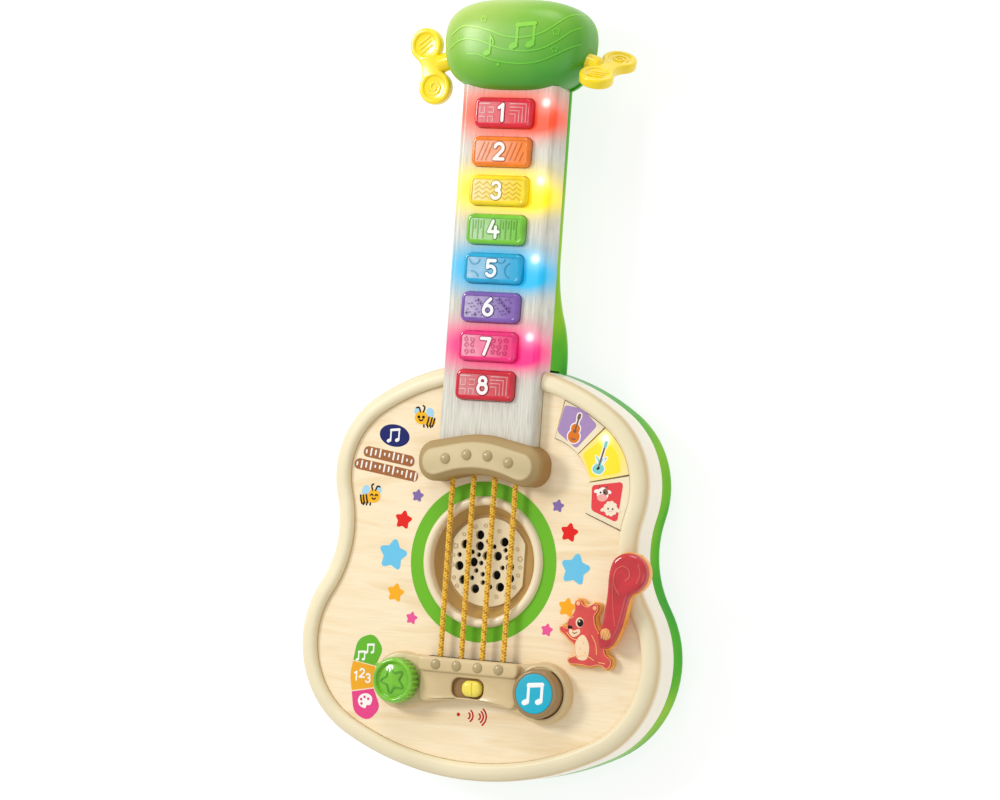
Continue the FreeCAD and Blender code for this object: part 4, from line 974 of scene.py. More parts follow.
def strings():
    """Four braided cords: strands wound both ways round a core."""
    gold = string_material("string_gold", hue(250, 208, 64), hue(228, 174, 36))
    amber = string_material("string_amber", hue(206, 144, 24), hue(172, 104, 12))
    for name in STRING_NAMES:
        low, high = box_of(name)
        x, z = (low.x + high.x) / 2, (low.z + high.z) / 2
        radius = (high.z - low.z) / 2 * STRING_LOOSENESS
        shape = Shape()
        shape.paint = 1
        shape.tube([(x, low.y, z), (x, high.y, z)], radius * 0.78, 10)
        steps = 8 * STRING_TURNS
        for strand in range(6):
            shape.paint = 1 if strand == 5 else 0
            sense = 1 if strand % 2 else -1
            path = []
            for step in range(steps + 1):
                angle = sense * (2 * math.pi * step / 8) + strand * math.pi / 3
                reach = radius * (0.82 + 0.1 * sense * math.cos(3 * math.pi * step / 4))
                path.append((x + reach * math.cos(angle), low.y + (high.y - low.y) * step / steps,
                             z + reach * math.sin(angle)))
            shape.tube(path, radius * 0.3, 5)
        make("braided_" + name, shape, [gold, amber], "guitar", [name], 60)


DIAL = middle("mode_dial")
MUSIC = middle("music_button")
SLOT = (0.0, -173.0)
SLOT_SIZE = (20.4, 11.6)
STRIP_Y = -160.6
BRIDGE_END_Z = 48.0
BRIDGE_DECK_Z = 50.5
BRIDGE_STRIP_Z = 53.0
BRIDGE_EDGE = 1.3
DIAL_PAD_RADIUS = 16.7
MUSIC_SEAT_RADIUS = 14.6


def bridge(material, dark):
    shape = Shape()
    band = [(-52, -156.3, 5), (-52, -189, 8), (-30, -184.5, 30), (0, -179.0, 60), (30, -184.5, 30), (52, -189, 8),
            (52, -156.3, 5)]
    shape.plate(rounded(band), FACE_Z, BRIDGE_END_Z, 1.4)
    pad = [(DIAL_PAD_RADIUS, FACE_Z), (DIAL_PAD_RADIUS, 46.3), (16.5, 47.0), (15.9, 47.7), (15.0, 48.0), (9.0, 48.2)]
    shape.turned(DIAL, pad, 80)
    collar = [(17.8, FACE_Z), (17.6, 46.0), (17.3, 47.0), (16.6, 47.9), (15.6, 48.4), (15.0, 48.3), (14.7, 47.9),
              (MUSIC_SEAT_RADIUS, 47.0), (MUSIC_SEAT_RADIUS, 42.5)]
    shape.turned(MUSIC, collar, 80)
    slot = rounded_box(SLOT, SLOT_SIZE, 4.6)
    deck = rounded([(-31, -156.3, 4), (-31, -183.0, 4), (0, -179.5, 60), (31, -183.0, 4), (31, -156.3, 4)])
    shape.loft(edged(deck, FACE_Z, BRIDGE_DECK_Z, BRIDGE_EDGE), last=False)
    lip = inset(slot, -0.7)
    shape.fill([inset(deck, BRIDGE_EDGE), lip], BRIDGE_DECK_Z)
    rows = [shape.add(flat(ring, z)) for ring, z in
            ((lip, BRIDGE_DECK_Z), (inset(slot, -0.25), BRIDGE_DECK_Z - 0.3), (slot, BRIDGE_DECK_Z - 1.0))]
    for outer, inner in zip(rows, rows[1:]):
        shape.band(outer, inner)
    shape.paint = 1
    walls = [shape.add(flat(slot, z)) for z in (BRIDGE_DECK_Z - 1.0, BRIDGE_END_Z + 0.1)]
    shape.band(walls[0], walls[1])
    shape.face(walls[1])
    shape.paint = 0
    strip = rounded_box((0, STRIP_Y), (64, 8.6), 3.0)
    shape.plate(strip, FACE_Z, BRIDGE_STRIP_Z, 1.5)
    shape.paint = 2
    for x in STRING_X:
        stud(shape, (x, STRIP_Y), BRIDGE_STRIP_Z - 0.3, 3.2, 1.7)
    make("bridge_body", shape, [material, dark, STUD_TAN], "guitar", ["bridge"])


# ---------------------------------------------------------------- dial, slider and music button

DIAL_TOP_Z = box_of("mode_dial")[1].z
DIAL_POINTER = 150.0
DIAL_RIM = 13.5
DIAL_TEETH = 26
DOME_RADIUS = 9.4
SLIDER_SIZE = (12.2, 9.4)
MUSIC_CUP_RADIUS = 14.15
MUSIC_DISC_RADIUS = 11.4
MUSIC_TOP_Z = box_of("music_button_disc")[1].z


def dome_height(x, y):
    reach = math.hypot(x - DIAL[0], y - DIAL[1])
    return DIAL_TOP_Z - 0.4 - 1.5 * (reach / DOME_RADIUS) ** 2


def mode_dial():
    """Knurled green knob: raised rim, shallow dome with a star, and a pointer at its foot."""
    def knurl(angle, radius, z):
        depth = 0.95 if radius > 12.6 and z < DIAL_TOP_Z - 1.2 else 0.0
        return radius - depth * (0.5 - 0.5 * math.cos(DIAL_TEETH * angle)) ** 1.5

    top = DIAL_TOP_Z
    profile = [(12.4, 48.5), (DIAL_RIM, 49.0), (DIAL_RIM, top - 3.4), (13.4, top - 2.2), (12.9, top - 1.1),
               (12.3, top - 0.35), (11.6, top), (11.0, top - 0.1), (10.5, top - 0.6), (10.2, top - 1.8),
               (9.8, top - 2.1)]
    for step in range(8):
        reach = DOME_RADIUS - 1.3 * step
        profile.append((reach, top - 0.4 - 1.5 * (reach / DOME_RADIUS) ** 2))
    shape = Shape()
    shape.turned(DIAL, profile, 208, knurl)
    tip = on_circle(DIAL, 17.6, DIAL_POINTER)
    wings = [on_circle(DIAL, 12.5, DIAL_POINTER + lean) for lean in (14, -14)]
    pointer = rounded([(*wings[0], 0.6), (*wings[1], 0.6), (*tip, 0.9)], 5)
    if Vector(wings[0]).cross(Vector(wings[1])) < 0:
        pointer = pointer[::-1]
    shape.plate(pointer, 48.5, 52.0, 0.7)
    shape.paint = 1
    outline = star(DIAL, 8.9, 24, 0.48, 0.1)
    shape.stroke(outline, 1.0, -0.3, 0.55, closed=True, surface=dome_height)
    green = clear_plastic("dial_green", hue(122, 196, 44))
    line = clear_plastic("dial_line", hue(84, 160, 28))
    make("dial_knob", shape, [green, line], "mode_dial", ["mode_dial"])


def volume_slider():
    low, high = box_of("volume_slider")
    centre = ((low.x + high.x) / 2 - 0.5, (low.y + high.y) / 2)
    outline = rounded_box(centre, SLIDER_SIZE, 4.2, 8)
    shape = Shape()
    crown = ((0, 2.4), (0.25, 1.5), (0.8, 0.8), (1.6, 0.35), (2.6, 0.1), (3.4, 0.02))
    shape.loft([flat(outline, BRIDGE_END_Z + 0.3)]
               + [flat(inset(outline, distance), high.z - drop) for distance, drop in crown])
    shape.stroke(moved([(0.4, -2.9), (0.4, 2.9)], centre), 1.3, high.z - 0.6, high.z + 0.4)
    yellow = plastic("slider_yellow", hue(248, 226, 84), 0.22, coat=0.5)
    make("slider_knob", shape, yellow, "volume_slider", ["volume_slider"])


def music_button(bronze):
    top = MUSIC_TOP_Z
    shape = Shape()
    profile = [(MUSIC_CUP_RADIUS, 46.8), (MUSIC_CUP_RADIUS, top - 2.2), (13.9, top - 1.2), (13.2, top - 0.5),
               (12.3, top - 0.25), (11.7, top - 0.3), (11.5, top - 0.6)]
    shape.turned(MUSIC, profile, 80)
    make("music_cup", shape, bronze, "music_button", ["music_button"])
    shape = Shape()
    profile = [(MUSIC_DISC_RADIUS, top - 1.0), (MUSIC_DISC_RADIUS, top - 0.25), (11.2, top - 0.05), (10.8, top)]
    shape.turned(MUSIC, profile, 72)
    shape.paint = 1
    beamed_notes(shape, (MUSIC[0] + 0.4, MUSIC[1] - 0.3), 11.6, top - 0.1, top + 0.06, line=0.15)
    blue = plastic("disc_blue", hue(0, 172, 200), 0.4)
    make("music_disc", shape, [blue, ink("note_white", hue(252, 252, 252))], "music_button", ["music_button_disc"])


# ---------------------------------------------------------------- speaker grille

# The grille is a disc of radius GRILLE_REACH cut straight at GRILLE_SIDE left and right of its middle.
GRILLE_SIDE = 22.9
GRILLE_REACH = 25.8
BIG_HOLES = [(-6.2, 15.4), (-5.9, 9.0), (-15.3, 9.4), (9.6, 12.3), (-1.1, 3.6), (6.0, 3.9), (-9.2, -0.6), (-18.2, -3.3),
             (6.0, -7.1), (-15.2, -11.3), (14.2, -1.8), (-7.1, -16.0), (8.8, -13.9), (14.8, -8.4)]
SMALL_HOLES = [(-0.8, 12.0), (3.3, 9.2), (-10.4, 5.2), (-6.2, 3.9), (10.6, 7.7), (12.2, 3.4), (-18.6, 3.1),
               (-4.4, -0.8), (-7.2, -5.4), (-0.3, -3.2), (9.4, -2.6), (-2.9, -7.2), (-9.6, -9.8), (-2.5, -12.0),
               (2.4, -14.2)]
DIMPLES = [(-9.6, 19.8), (-3.0, 21.0), (5.9, 18.4), (-16.5, 15.1), (-21.5, 8.0), (-22.6, 2.6), (-22.6, -3.0),
           (-21.2, -10.4), (-18.9, -15.0), (18.3, 8.8), (20.3, 3.3), (20.8, -1.6), (19.8, -6.2), (17.6, -13.2),
           (13.2, -18.3), (6.9, -19.5), (-13.4, -19.0), (0.6, -20.6)]


def speaker_grille():
    high = box_of("speaker_grille")[1]
    lean = math.degrees(math.acos(GRILLE_SIDE / GRILLE_REACH))
    outline = arc(SOUND_HOLE, GRILLE_REACH, lean, 180 - lean, 30)
    outline += arc(SOUND_HOLE, GRILLE_REACH, 180 + lean, 360 - lean, 30)
    holes = [disc(place, 2.7, 20) for place in moved(BIG_HOLES, SOUND_HOLE)]
    holes += [disc(place, 1.5, 14) for place in moved(SMALL_HOLES, SOUND_HOLE)]
    shape = Shape()
    shape.pierced(outline, holes, high.z - 2.2, high.z)
    shape.paint = 2
    shape.ring_plate(disc(SOUND_HOLE, 28.2, 64), disc(SOUND_HOLE, 22.0, 64), high.z - 2.6, high.z - 1.4)
    shape.paint = 1
    for index, place in enumerate(moved(DIMPLES, SOUND_HOLE)):
        outline = star(place, 1.9, 5 * index) if index % 6 == 4 else disc(place, 0.95, 14)
        shape.stroke(outline, 0.5, high.z - 0.1, high.z + 0.4, closed=True)
    materials = [plastic("grille_cream", hue(236, 222, 184), 0.5), plastic("grille_relief", hue(206, 184, 142), 0.5),
                 plastic("grille_bronze", hue(186, 150, 86), 0.3)]
    make("grille_plate", shape, materials, "guitar", ["speaker_grille"], 30)


def sound_hole_lip():
    """Broad rounded cream ring that stands a little above the face."""
    top = LIP_HIGH.z
    profile = [(39.8, FACE_Z - 2), (39.8, FACE_Z - 0.03), (38.2, FACE_Z - 0.03), (38.0, 41.8), (37.5, top - 0.9),
               (36.7, top - 0.2), (35.6, top), (34.5, top - 0.1), (33.5, top - 0.7), (33.0, top - 1.6), (32.8, 38.0)]
    shape = Shape()
    shape.loft([flat(disc(SOUND_HOLE, radius, 96), z) for radius, z in profile], first=False, last=False)
    cream = plastic("lip_cream", hue(240, 224, 190), 0.34, coat=0.1)
    make("lip_ring", shape, cream, "guitar", ["soundhole_lip"])


# ---------------------------------------------------------------- squirrel, its tail and the acorn

SQUIRREL = [
    (62.0, -119.2), (63.2, -117.0), (65.8, -116.9), (67.2, -119.0), (69.8, -120.2), (71.8, -119.4), (73.6, -118.2),
    (76.2, -118.6), (77.2, -121.0), (76.2, -123.4), (75.0, -125.4), (75.4, -128.4), (76.4, -131.2), (78.4, -134.4),
    (80.6, -138.8), (82.4, -144.0), (83.4, -146.6), (86.4, -148.9), (87.3, -151.2), (86.2, -154.0), (84.0, -154.8),
    (81.6, -153.4), (78.6, -153.2), (74.1, -154.4), (69.6, -153.8), (65.6, -153.7), (62.2, -153.8), (60.0, -152.0),
    (61.2, -150.0), (63.9, -149.0), (64.9, -147.4), (64.4, -144.6), (63.4, -142.4), (60.4, -140.4), (57.0, -137.4),
    (54.2, -135.6), (53.8, -133.4), (55.4, -132.2), (58.4, -133.4), (58.0, -131.0), (58.8, -128.5), (60.9, -125.7),
    (62.3, -122.8)]
SQUIRREL_HIGH = box_of("squirrel_body")[1]
SQUIRREL_BASE_Z = 45.2
TAIL = [
    (81.0, -134.2), (82.8, -128.5), (83.8, -121.0), (84.5, -111.0), (84.6, -103.0), (85.2, -97.4), (87.1, -92.2),
    (91.0, -88.8), (96.4, -87.5), (102.4, -88.7), (107.3, -92.8), (109.2, -98.6), (108.2, -104.6), (104.4, -109.4),
    (99.6, -112.3), (97.9, -117.6), (96.6, -124.4), (95.0, -130.9), (92.6, -137.0), (89.4, -142.0), (85.6, -143.8),
    (82.0, -142.4), (80.2, -138.6)]
TAIL_HIGH = box_of("squirrel_tail_lever")[1]
TAIL_BASE_Z = 47.4
TAIL_SEAM_Z = 51.8
ACORN = (middle("acorn_cap")[0] + 0.4, middle("acorn_cap")[1] + 0.6)
ACORN_HIGH = box_of("acorn_cap")[1]


# Material numbers of the squirrel's front.
RED, LINES, BELLY, DARK = range(4)
EYE = (66.2, -129.7)


def squirrel(amber, pale):
    outline = smooth(SQUIRREL, 4)[::-1]
    top = SQUIRREL_HIGH.z
    shape = Shape()
    shape.plate(inset(outline, -0.9), FACE_Z + 0.1, SQUIRREL_BASE_Z, 0.6)
    make("squirrel_base", shape, amber, "guitar", ["squirrel_body"])
    shape = Shape()

    def patches(paint, outlines, low, high, edge=0.1):
        shape.paint = paint
        for patch_outline in outlines:
            shape.plate(patch_outline, top + low, top + high, edge)

    def lines(paint, paths, width, low, high, closed=False):
        shape.paint = paint
        for path in paths:
            shape.stroke(path, width, top + low, top + high, closed)

    patches(RED, [outline], SQUIRREL_BASE_Z - 0.4 - top, 0, 0.4)
    lines(LINES, [inset(outline, 0.35)], 0.35, -0.3, 0.1, True)
    belly = smooth([(68.4, -136.4), (71.8, -139.4), (73.2, -144.4), (71.9, -150.2), (66.8, -150.6), (64.9, -146.0),
                    (64.6, -140.6)], 5)[::-1]
    muzzle = smooth([(60.4, -133.2), (62.6, -134.6), (66.0, -133.4), (66.8, -135.8), (63.0, -138.2), (60.0, -136.0)], 4)
    patches(BELLY, [belly, muzzle[::-1]], -0.2, 0.14)
    patches(BELLY, [ellipse(EYE, (2.5, 2.9), 0, 24)], -0.2, 0.16)
    patches(DARK, [ellipse((66.6, -129.9), (2.0, 2.3), 0, 24)], 0, 0.2)
    lines(DARK, [[(62.2, -135.4), (63.3, -136.3), (64.8, -135.3)]], 0.5, 0, 0.22)
    lines(DARK, [[(59.8, -132.7), (60.9, -132.9)]], 1.7, 0, 0.3)
    patches(BELLY, [disc((66.0, -129.0), 0.5, 10)], 0.1, 0.26, 0)
    folds = ([(60.6, -127.6), (62.0, -126.6)], [(58.6, -136.0), (62.0, -139.0), (66.0, -139.6)],
             [(65.4, -149.4), (71.4, -148.2), (76.4, -150.4)], [(74.2, -136.4), (77.0, -141.2), (78.0, -147.0)],
             [(79.6, -151.4), (83.6, -151.8)])
    lines(LINES, [smooth(path, 4, False) for path in folds], 0.5, -0.2, 0.16)
    patches(LINES, [disc(ear, 1.2, 16) for ear in ((64.4, -118.9), (74.8, -120.8))], -0.2, 0.1)
    patches(LINES, [disc(dot, 0.55, 10) for dot in ((69.4, -141.0), (67.4, -144.4), (70.6, -146.6))], 0.05, 0.22, 0)
    red = clear_plastic("squirrel_red", hue(218, 72, 66))
    dark = ink("squirrel_ink", hue(40, 22, 26))
    make("squirrel_front", shape, [red, pale, ink("squirrel_cream", hue(252, 222, 182)), dark], "guitar",
         ["squirrel_body"])


def tail_lever(amber, pale):
    outline = smooth(TAIL, 4)[::-1]
    top = TAIL_HIGH.z - 0.1
    red = clear_plastic("tail_red", hue(198, 40, 48))
    orange = clear_plastic("tail_orange", hue(252, 160, 44))
    shape = Shape()
    shape.plate(outline, TAIL_BASE_Z, TAIL_SEAM_Z, 0.6)
    shape.paint = 1
    shape.plate(inset(outline, 0.5), TAIL_SEAM_Z - 0.6, top, 2.9, 6)
    shape.paint = 2
    curl = [(93.4, -111.6), (90.4, -107.8), (89.2, -102.6), (90.6, -97.8), (94.4, -95.6), (98.0, -97.4),
            (98.8, -101.2), (96.6, -103.6)]
    for path, steps, width, rise in ((curl, 6, 1.1, 0.35),
                                     ([(88.6, -106.0), (89.4, -114.0), (90.4, -122.0), (92.0, -129.6)], 5, 0.8, 0.2),
                                     ([(103.6, -94.2), (105.0, -99.4), (103.2, -104.6)], 6, 0.9, 0.1)):
        shape.stroke(smooth(path, steps, False), width, top - 0.9, top + rise)
    make("tail_front", shape, [orange, red, clear_plastic("tail_line", hue(212, 84, 76))], "tail_lever",
         ["squirrel_tail_lever"])
    shape = Shape()
    turns = [math.pi / 2 * step / 6.3 for step in range(7)]
    rings = [flat(ellipse(ACORN, (3.9, 4.3), 20, 36), ACORN_HIGH.z - 2.4)]
    rings += [flat(ellipse(ACORN, (3.9 * math.cos(turn), 4.3 * math.cos(turn)), 20, 36),
                   ACORN_HIGH.z - 2.2 + 2.1 * math.sin(turn)) for turn in turns]
    shape.loft(rings)
    shape.paint = 1
    for shift in (-1.4, 0.2, 1.8):
        shape.stroke(moved([(shift - 0.9, -2.4), (shift + 0.5, 2.2)], ACORN), 0.45, ACORN_HIGH.z - 1.2,
                     ACORN_HIGH.z + 0.05)
    make("acorn_front", shape, [clear_plastic("acorn_amber", hue(240, 170, 92)), pale], "tail_lever", ["acorn_cap"])


# ---------------------------------------------------------------- mode keys

KEY_TOP_Z = box_of("mode_key_1")[1].z
KEY_LABELS = {
    "mode_key_1": [(65.8, -51.3, 2), (66.3, -65.5, 3), (83.0, -71.6, 2), (85.2, -48.0, 2)],
    "mode_key_2": [(58.6, -33.9, 2), (64.7, -46.9, 2), (83.4, -43.0, 2), (80.4, -33.0, 6), (72.0, -23.4, 2)],
    "mode_key_3": [(45.4, -6.4, 2), (41.6, -22.0, 3), (54.3, -31.0, 2), (66.6, -17.0, 2), (57.0, -8.2, 5)]}


def key_label(name, colour, drawing, lit=False):
    """A key's printed label: a colour patch with a small picture over it."""
    shape = Shape()
    shape.plate(rounded(KEY_LABELS[name]), KEY_TOP_Z - 0.1, KEY_TOP_Z + 0.05)
    label = lit_key("label_lit", colour, False) if lit else ink("label_" + name, colour)
    make("label_" + name, shape, label, name)
    shape = Shape()
    drawing(shape, KEY_TOP_Z)
    make("picture_" + name, shape, PICTURE_INKS, name)


def lit_key(name, colour, pale):
    """Yellow light in the key, brightest where its lamp is, fading into the key's cream edge."""
    finish = Finish(name, specular=0.3)
    spot = finish.math("POWER", finish.near((72.0, -24.5, KEY_TOP_Z), (14, 14, 20)), 9.0)
    wide = finish.near((72.6, -35.0, KEY_TOP_Z), (26, 26, 30))
    speckle = finish.noise(3.0, detail=3.0)
    base = finish.ramp(speckle, [(0.35, shade(colour, 0.95)), (0.65, colour)])
    warm = finish.mix(finish.times(wide, 1.0 if pale else 0.0), base, hue(255, 226, 40))
    finish.colour(warm)
    finish.gloss(speckle, 0.36, 0.5)
    finish.emission(finish.mix(spot, hue(255, 222, 20), (1.0, 1.0, 0.9)),
                    finish.plus(finish.times(wide, 0.12), finish.times(spot, 0.9)))
    return finish.material


WHITE, ORANGE, TEAL, BROWN, PINK, BLACK, CREAM = range(7)
PICTURE_HUES = {"white": (252, 248, 240), "orange": (226, 122, 36), "teal": (130, 210, 206), "brown": (130, 96, 84),
                "pink": (248, 176, 166), "black": (34, 30, 36), "cream": (250, 234, 208)}
PICTURE_INKS = [ink("picture_" + name, hue(*colour)) for name, colour in PICTURE_HUES.items()]


def patch(shape, paint, outline, low, rise):
    shape.paint = paint
    shape.lift += LAYER
    shape.plate(outline, low, low + rise + shape.lift)


def line(shape, paint, path, width, low, rise):
    shape.paint = paint
    shape.lift += LAYER
    shape.stroke(path, width, low, low + rise + shape.lift)


def acoustic_guitar(shape, z):
    neck = [(53.2, -19.4), (54.9, -12.8)]
    for paint, grow, rise in ((WHITE, 0.7, 0.09), (ORANGE, 0.0, 0.13)):
        patch(shape, paint, disc((52.3, -24.2), 3.7 + grow, 28), z, rise)
        patch(shape, paint, disc((53.1, -19.6), 2.8 + grow, 28), z, rise)
        line(shape, paint if grow else BROWN, neck, 1.2 + 2 * grow, z, rise)
        line(shape, paint if grow else BROWN, [(54.7, -13.4), (55.1, -11.8)], 2.1 + 2 * grow, z, rise)
    patch(shape, BROWN, disc((52.8, -21.0), 1.1, 16), z, 0.16)
    line(shape, BROWN, [(50.8, -25.4), (53.2, -25.8)], 0.7, z, 0.16)


def electric_guitar(shape, z):
    body = smooth([(66.2, -43.6), (70.2, -44.6), (72.6, -41.8), (71.8, -38.8), (73.8, -35.2), (71.4, -35.8),
                   (69.6, -36.6), (67.2, -34.6), (67.6, -38.6), (65.6, -41.0)], 4)
    for paint, grow, rise in ((WHITE, 0.7, 0.09), (TEAL, 0.0, 0.13)):
        patch(shape, paint, inset(body, -grow), z, rise)
        line(shape, paint if grow else BROWN, [(69.2, -40.4), (72.4, -28.0)], 1.1 + 2 * grow, z, rise)
        line(shape, paint, [(72.3, -28.6), (72.9, -26.4)], 1.8 + 2 * grow, z, rise)
    line(shape, WHITE, [(67.6, -36.4), (68.4, -38.4)], 1.2, z, 0.16)
    line(shape, WHITE, [(72.4, -36.2), (71.2, -39.0)], 1.2, z, 0.16)
    patch(shape, BLACK, ellipse((69.0, -41.4), (1.1, 0.7), 40, 14), z, 0.16)


def animals(shape, z):
    cow = (72.8, -56.0)
    patch(shape, WHITE, ellipse(cow, (3.6, 4.0), 0, 28), z, 0.09)
    for side in (-1, 1):
        patch(shape, WHITE, ellipse((cow[0] + side * 3.9, cow[1] + 1.6), (1.6, 1.0), -20 * side, 14), z, 0.11)
        line(shape, BROWN, [(cow[0] + side * 1.8, cow[1] + 3.6), (cow[0] + side * 2.4, cow[1] + 4.7)], 0.8, z, 0.11)
    patch(shape, BROWN, ellipse((cow[0] + 1.7, cow[1] + 1.4), (1.6, 1.9), 30, 16), z, 0.13)
    patch(shape, PINK, ellipse((cow[0] - 0.2, cow[1] - 2.0), (3.1, 2.1), 0, 20), z, 0.13)
    for side in (-1, 1):
        patch(shape, BLACK, disc((cow[0] + side * 1.3, cow[1] + 1.0), 0.55, 10), z, 0.17)
    sheep = (78.4, -63.8)
    for index in range(9):
        patch(shape, CREAM, disc(on_circle(sheep, 3.1, 40 * index), 1.4, 12), z, 0.11)
    for side in (-1, 1):
        patch(shape, CREAM, ellipse((sheep[0] + side * 4.6, sheep[1] - 0.8), (1.7, 1.0), -30 * side, 14), z, 0.11)
    patch(shape, CREAM, disc(sheep, 3.8, 24), z, 0.12)
    for side in (-1, 1):
        patch(shape, BLACK, disc((sheep[0] + side * 1.4, sheep[1] - 0.2), 0.55, 10), z, 0.19)
    line(shape, PINK, [(sheep[0] - 0.7, sheep[1] - 1.7), (sheep[0] + 0.7, sheep[1] - 1.7)], 0.6, z, 0.15)


# ---------------------------------------------------------------- prints on the face panel

PRINT = 0.05


def printed(name, outlines, material, level=1):
    """Thin decals on the face panel; a higher level lies over a lower one."""
    shape = Shape()
    for outline in outlines:
        shape.plate(outline, FACE_Z - 0.05, FACE_Z + PRINT * level)
    return make(name, shape, material, "guitar")


def printed_lines(name, paths, width, material, level=2):
    shape = Shape()
    for path in paths:
        shape.stroke(path, width, FACE_Z - 0.05, FACE_Z + PRINT * level)
    return make(name, shape, material, "guitar")


RING_INNER = 37.2
RING_OUTER = 46.6
STARS = {"red": (53.2, 20.8, 6.6), "blue": (58.5, 0.0, 11.0), "orange": (55.0, -22.0, 6.6),
         "purple": (45.0, 35.5, 4.5), "pink": (43.4, -35.9, 4.5)}
STAR_TURN = -8.0
STAR_HUES = {"red": hue(232, 36, 30), "blue": hue(110, 200, 236), "orange": hue(252, 178, 34),
             "purple": hue(134, 110, 172), "pink": hue(240, 92, 156)}


def sound_hole_prints():
    shape = Shape()
    shape.ring_plate(disc(SOUND_HOLE, RING_OUTER, 96), disc(SOUND_HOLE, RING_INNER, 96), FACE_Z - 0.05, FACE_Z + PRINT)
    make("ring_print", shape, ink("ring_green", hue(112, 188, 42)), "guitar")
    for name, (x, y, size) in STARS.items():
        outlines = [star((SOUND_HOLE[0] + side * x, SOUND_HOLE[1] + y), size, STAR_TURN) for side in (-1, 1)]
        printed("stars_" + name, outlines, ink("star_" + name, STAR_HUES[name]), 2)


def bee(centre, facing, inks):
    """A plain bee, facing -1 to the left or 1 to the right."""
    yellow, black, wing = inks

    def at(x, y):
        return centre[0] - facing * x, centre[1] + y

    def blob(x, y, half, turn=0.0):
        return ellipse(at(x, y), half, -facing * turn, 28)

    name = f"bee_{facing}".replace("-", "m")
    printed(name + "_wings", [blob(5.6, 3.0, (2.5, 3.2), 20), blob(-3.0, 3.7, (1.9, 2.2))], wing, 1)
    printed(name + "_body", [blob(5.4, -2.0, (4.0, 2.9), -18)], yellow, 2)
    printed(name + "_head", [blob(0, 0, (4.1, 3.9))], yellow, 3)
    stripes = [[at(x + 0.5, y + 2.4), at(x, y), at(x - 0.7, y - 2.1)]
               for x, y in ((4.6, -2.0), (6.6, -2.3), (8.3, -2.6))]
    printed_lines(name + "_stripes", stripes, 1.2, black, 2.5)
    lines = [arc(at(0, -0.5), 1.3, 215, 325, 6), smooth([at(-0.8, 3.4), at(-1.8, 5.8), at(-3.4, 5.6)], 4, False),
             smooth([at(1.2, 3.4), at(1.9, 6.0), at(0.8, 7.0)], 4, False)]
    lines += [[at(x, -4.2), at(x + 0.2, -5.4)] for x in (2.0, 4.4, 6.4)]
    if facing > 0:
        lines += [arc(at(x, 0.1), 0.8, 20, 160, 5) for x in (-1.5, 1.5)]
    else:
        printed(name + "_eyes", [disc(at(x, 0.3), 0.95, 14) for x in (-1.5, 1.5)], black, 4)
    printed_lines(name + "_lines", lines, 0.95, black, 4.5)


def bow(x, length):
    return 0.9 - 0.9 * (2 * x / length) ** 2


def ribbon(centre, length, turn):
    """Rounded band, bulging a little, turned by degrees."""
    points = rounded_box((0, 0), (length, 6.4), 3.0)
    return [swung(centre, x, y - 0.9 * (2 * x / length) ** 2 + 0.9, turn) for x, y in points]


def ribbon_bars(centre, length, turn):
    paths = []
    count = int(length / 3.0)
    for index in range(count):
        x = (index - (count - 1) / 2) * 3.0
        reach = (0.7, 1.9, 1.2, 2.1, 0.4)[index % 5]
        paths.append([swung(centre, x, bow(x, length) + side * reach, turn) for side in (-1, 1)])
    return paths


RIBBONS = (((-65.6, -43.0), 34.0, -8.0), ((-66.8, -51.0), 42.5, -8.0))
BADGE = (-62.9, -30.4)


def title_prints(white):
    printed("badge", [ellipse(BADGE, (9.9, 6.5), -8)], ink("badge_navy", hue(26, 34, 104)), 1)
    shape = Shape()
    beamed_notes(shape, BADGE, 7.4, FACE_Z, FACE_Z + 3 * PRINT)
    make("badge_note", shape, white, "guitar")
    brown = ink("ribbon_brown", hue(164, 104, 60))
    printed("ribbons", [ribbon(*values) for values in RIBBONS], brown, 2)
    bars = [path for values in RIBBONS for path in ribbon_bars(*values)]
    printed_lines("ribbon_bars", bars, 1.1, white, 3)


MODE_PATCHES = (
    ("green", hue(105, 186, 50), [(-64.6, -165.5, 0.4), (-60.4, -155.4, 5.5), (-67.0, -146.4, 6.0),
                                  (-77.6, -150.6, 8.0), (-79.6, -163.3, 0.4)]),
    ("orange", hue(244, 174, 42), [(-79.7, -163.8, 0.6), (-81.0, -172.2, 20.0), (-79.2, -181.2, 0.6),
                                   (-65.2, -178.2, 0.6), (-64.6, -166.0, 0.6)]),
    ("pink", hue(234, 74, 140), [(-79.1, -181.8, 0.4), (-77.0, -194.0, 8.0), (-67.0, -198.4, 6.0),
                                 (-59.6, -190.0, 5.5), (-64.9, -178.9, 0.4)]))
MODE_NOTES = ((-74.4, -160.6, 5.4), (-68.8, -156.0, 5.4))
MODE_DIGITS = (("1", (-77.0, -172.4)), ("2", (-73.2, -170.6)), ("3", (-69.0, -173.2)))
PALETTE = (-69.9, -186.6)


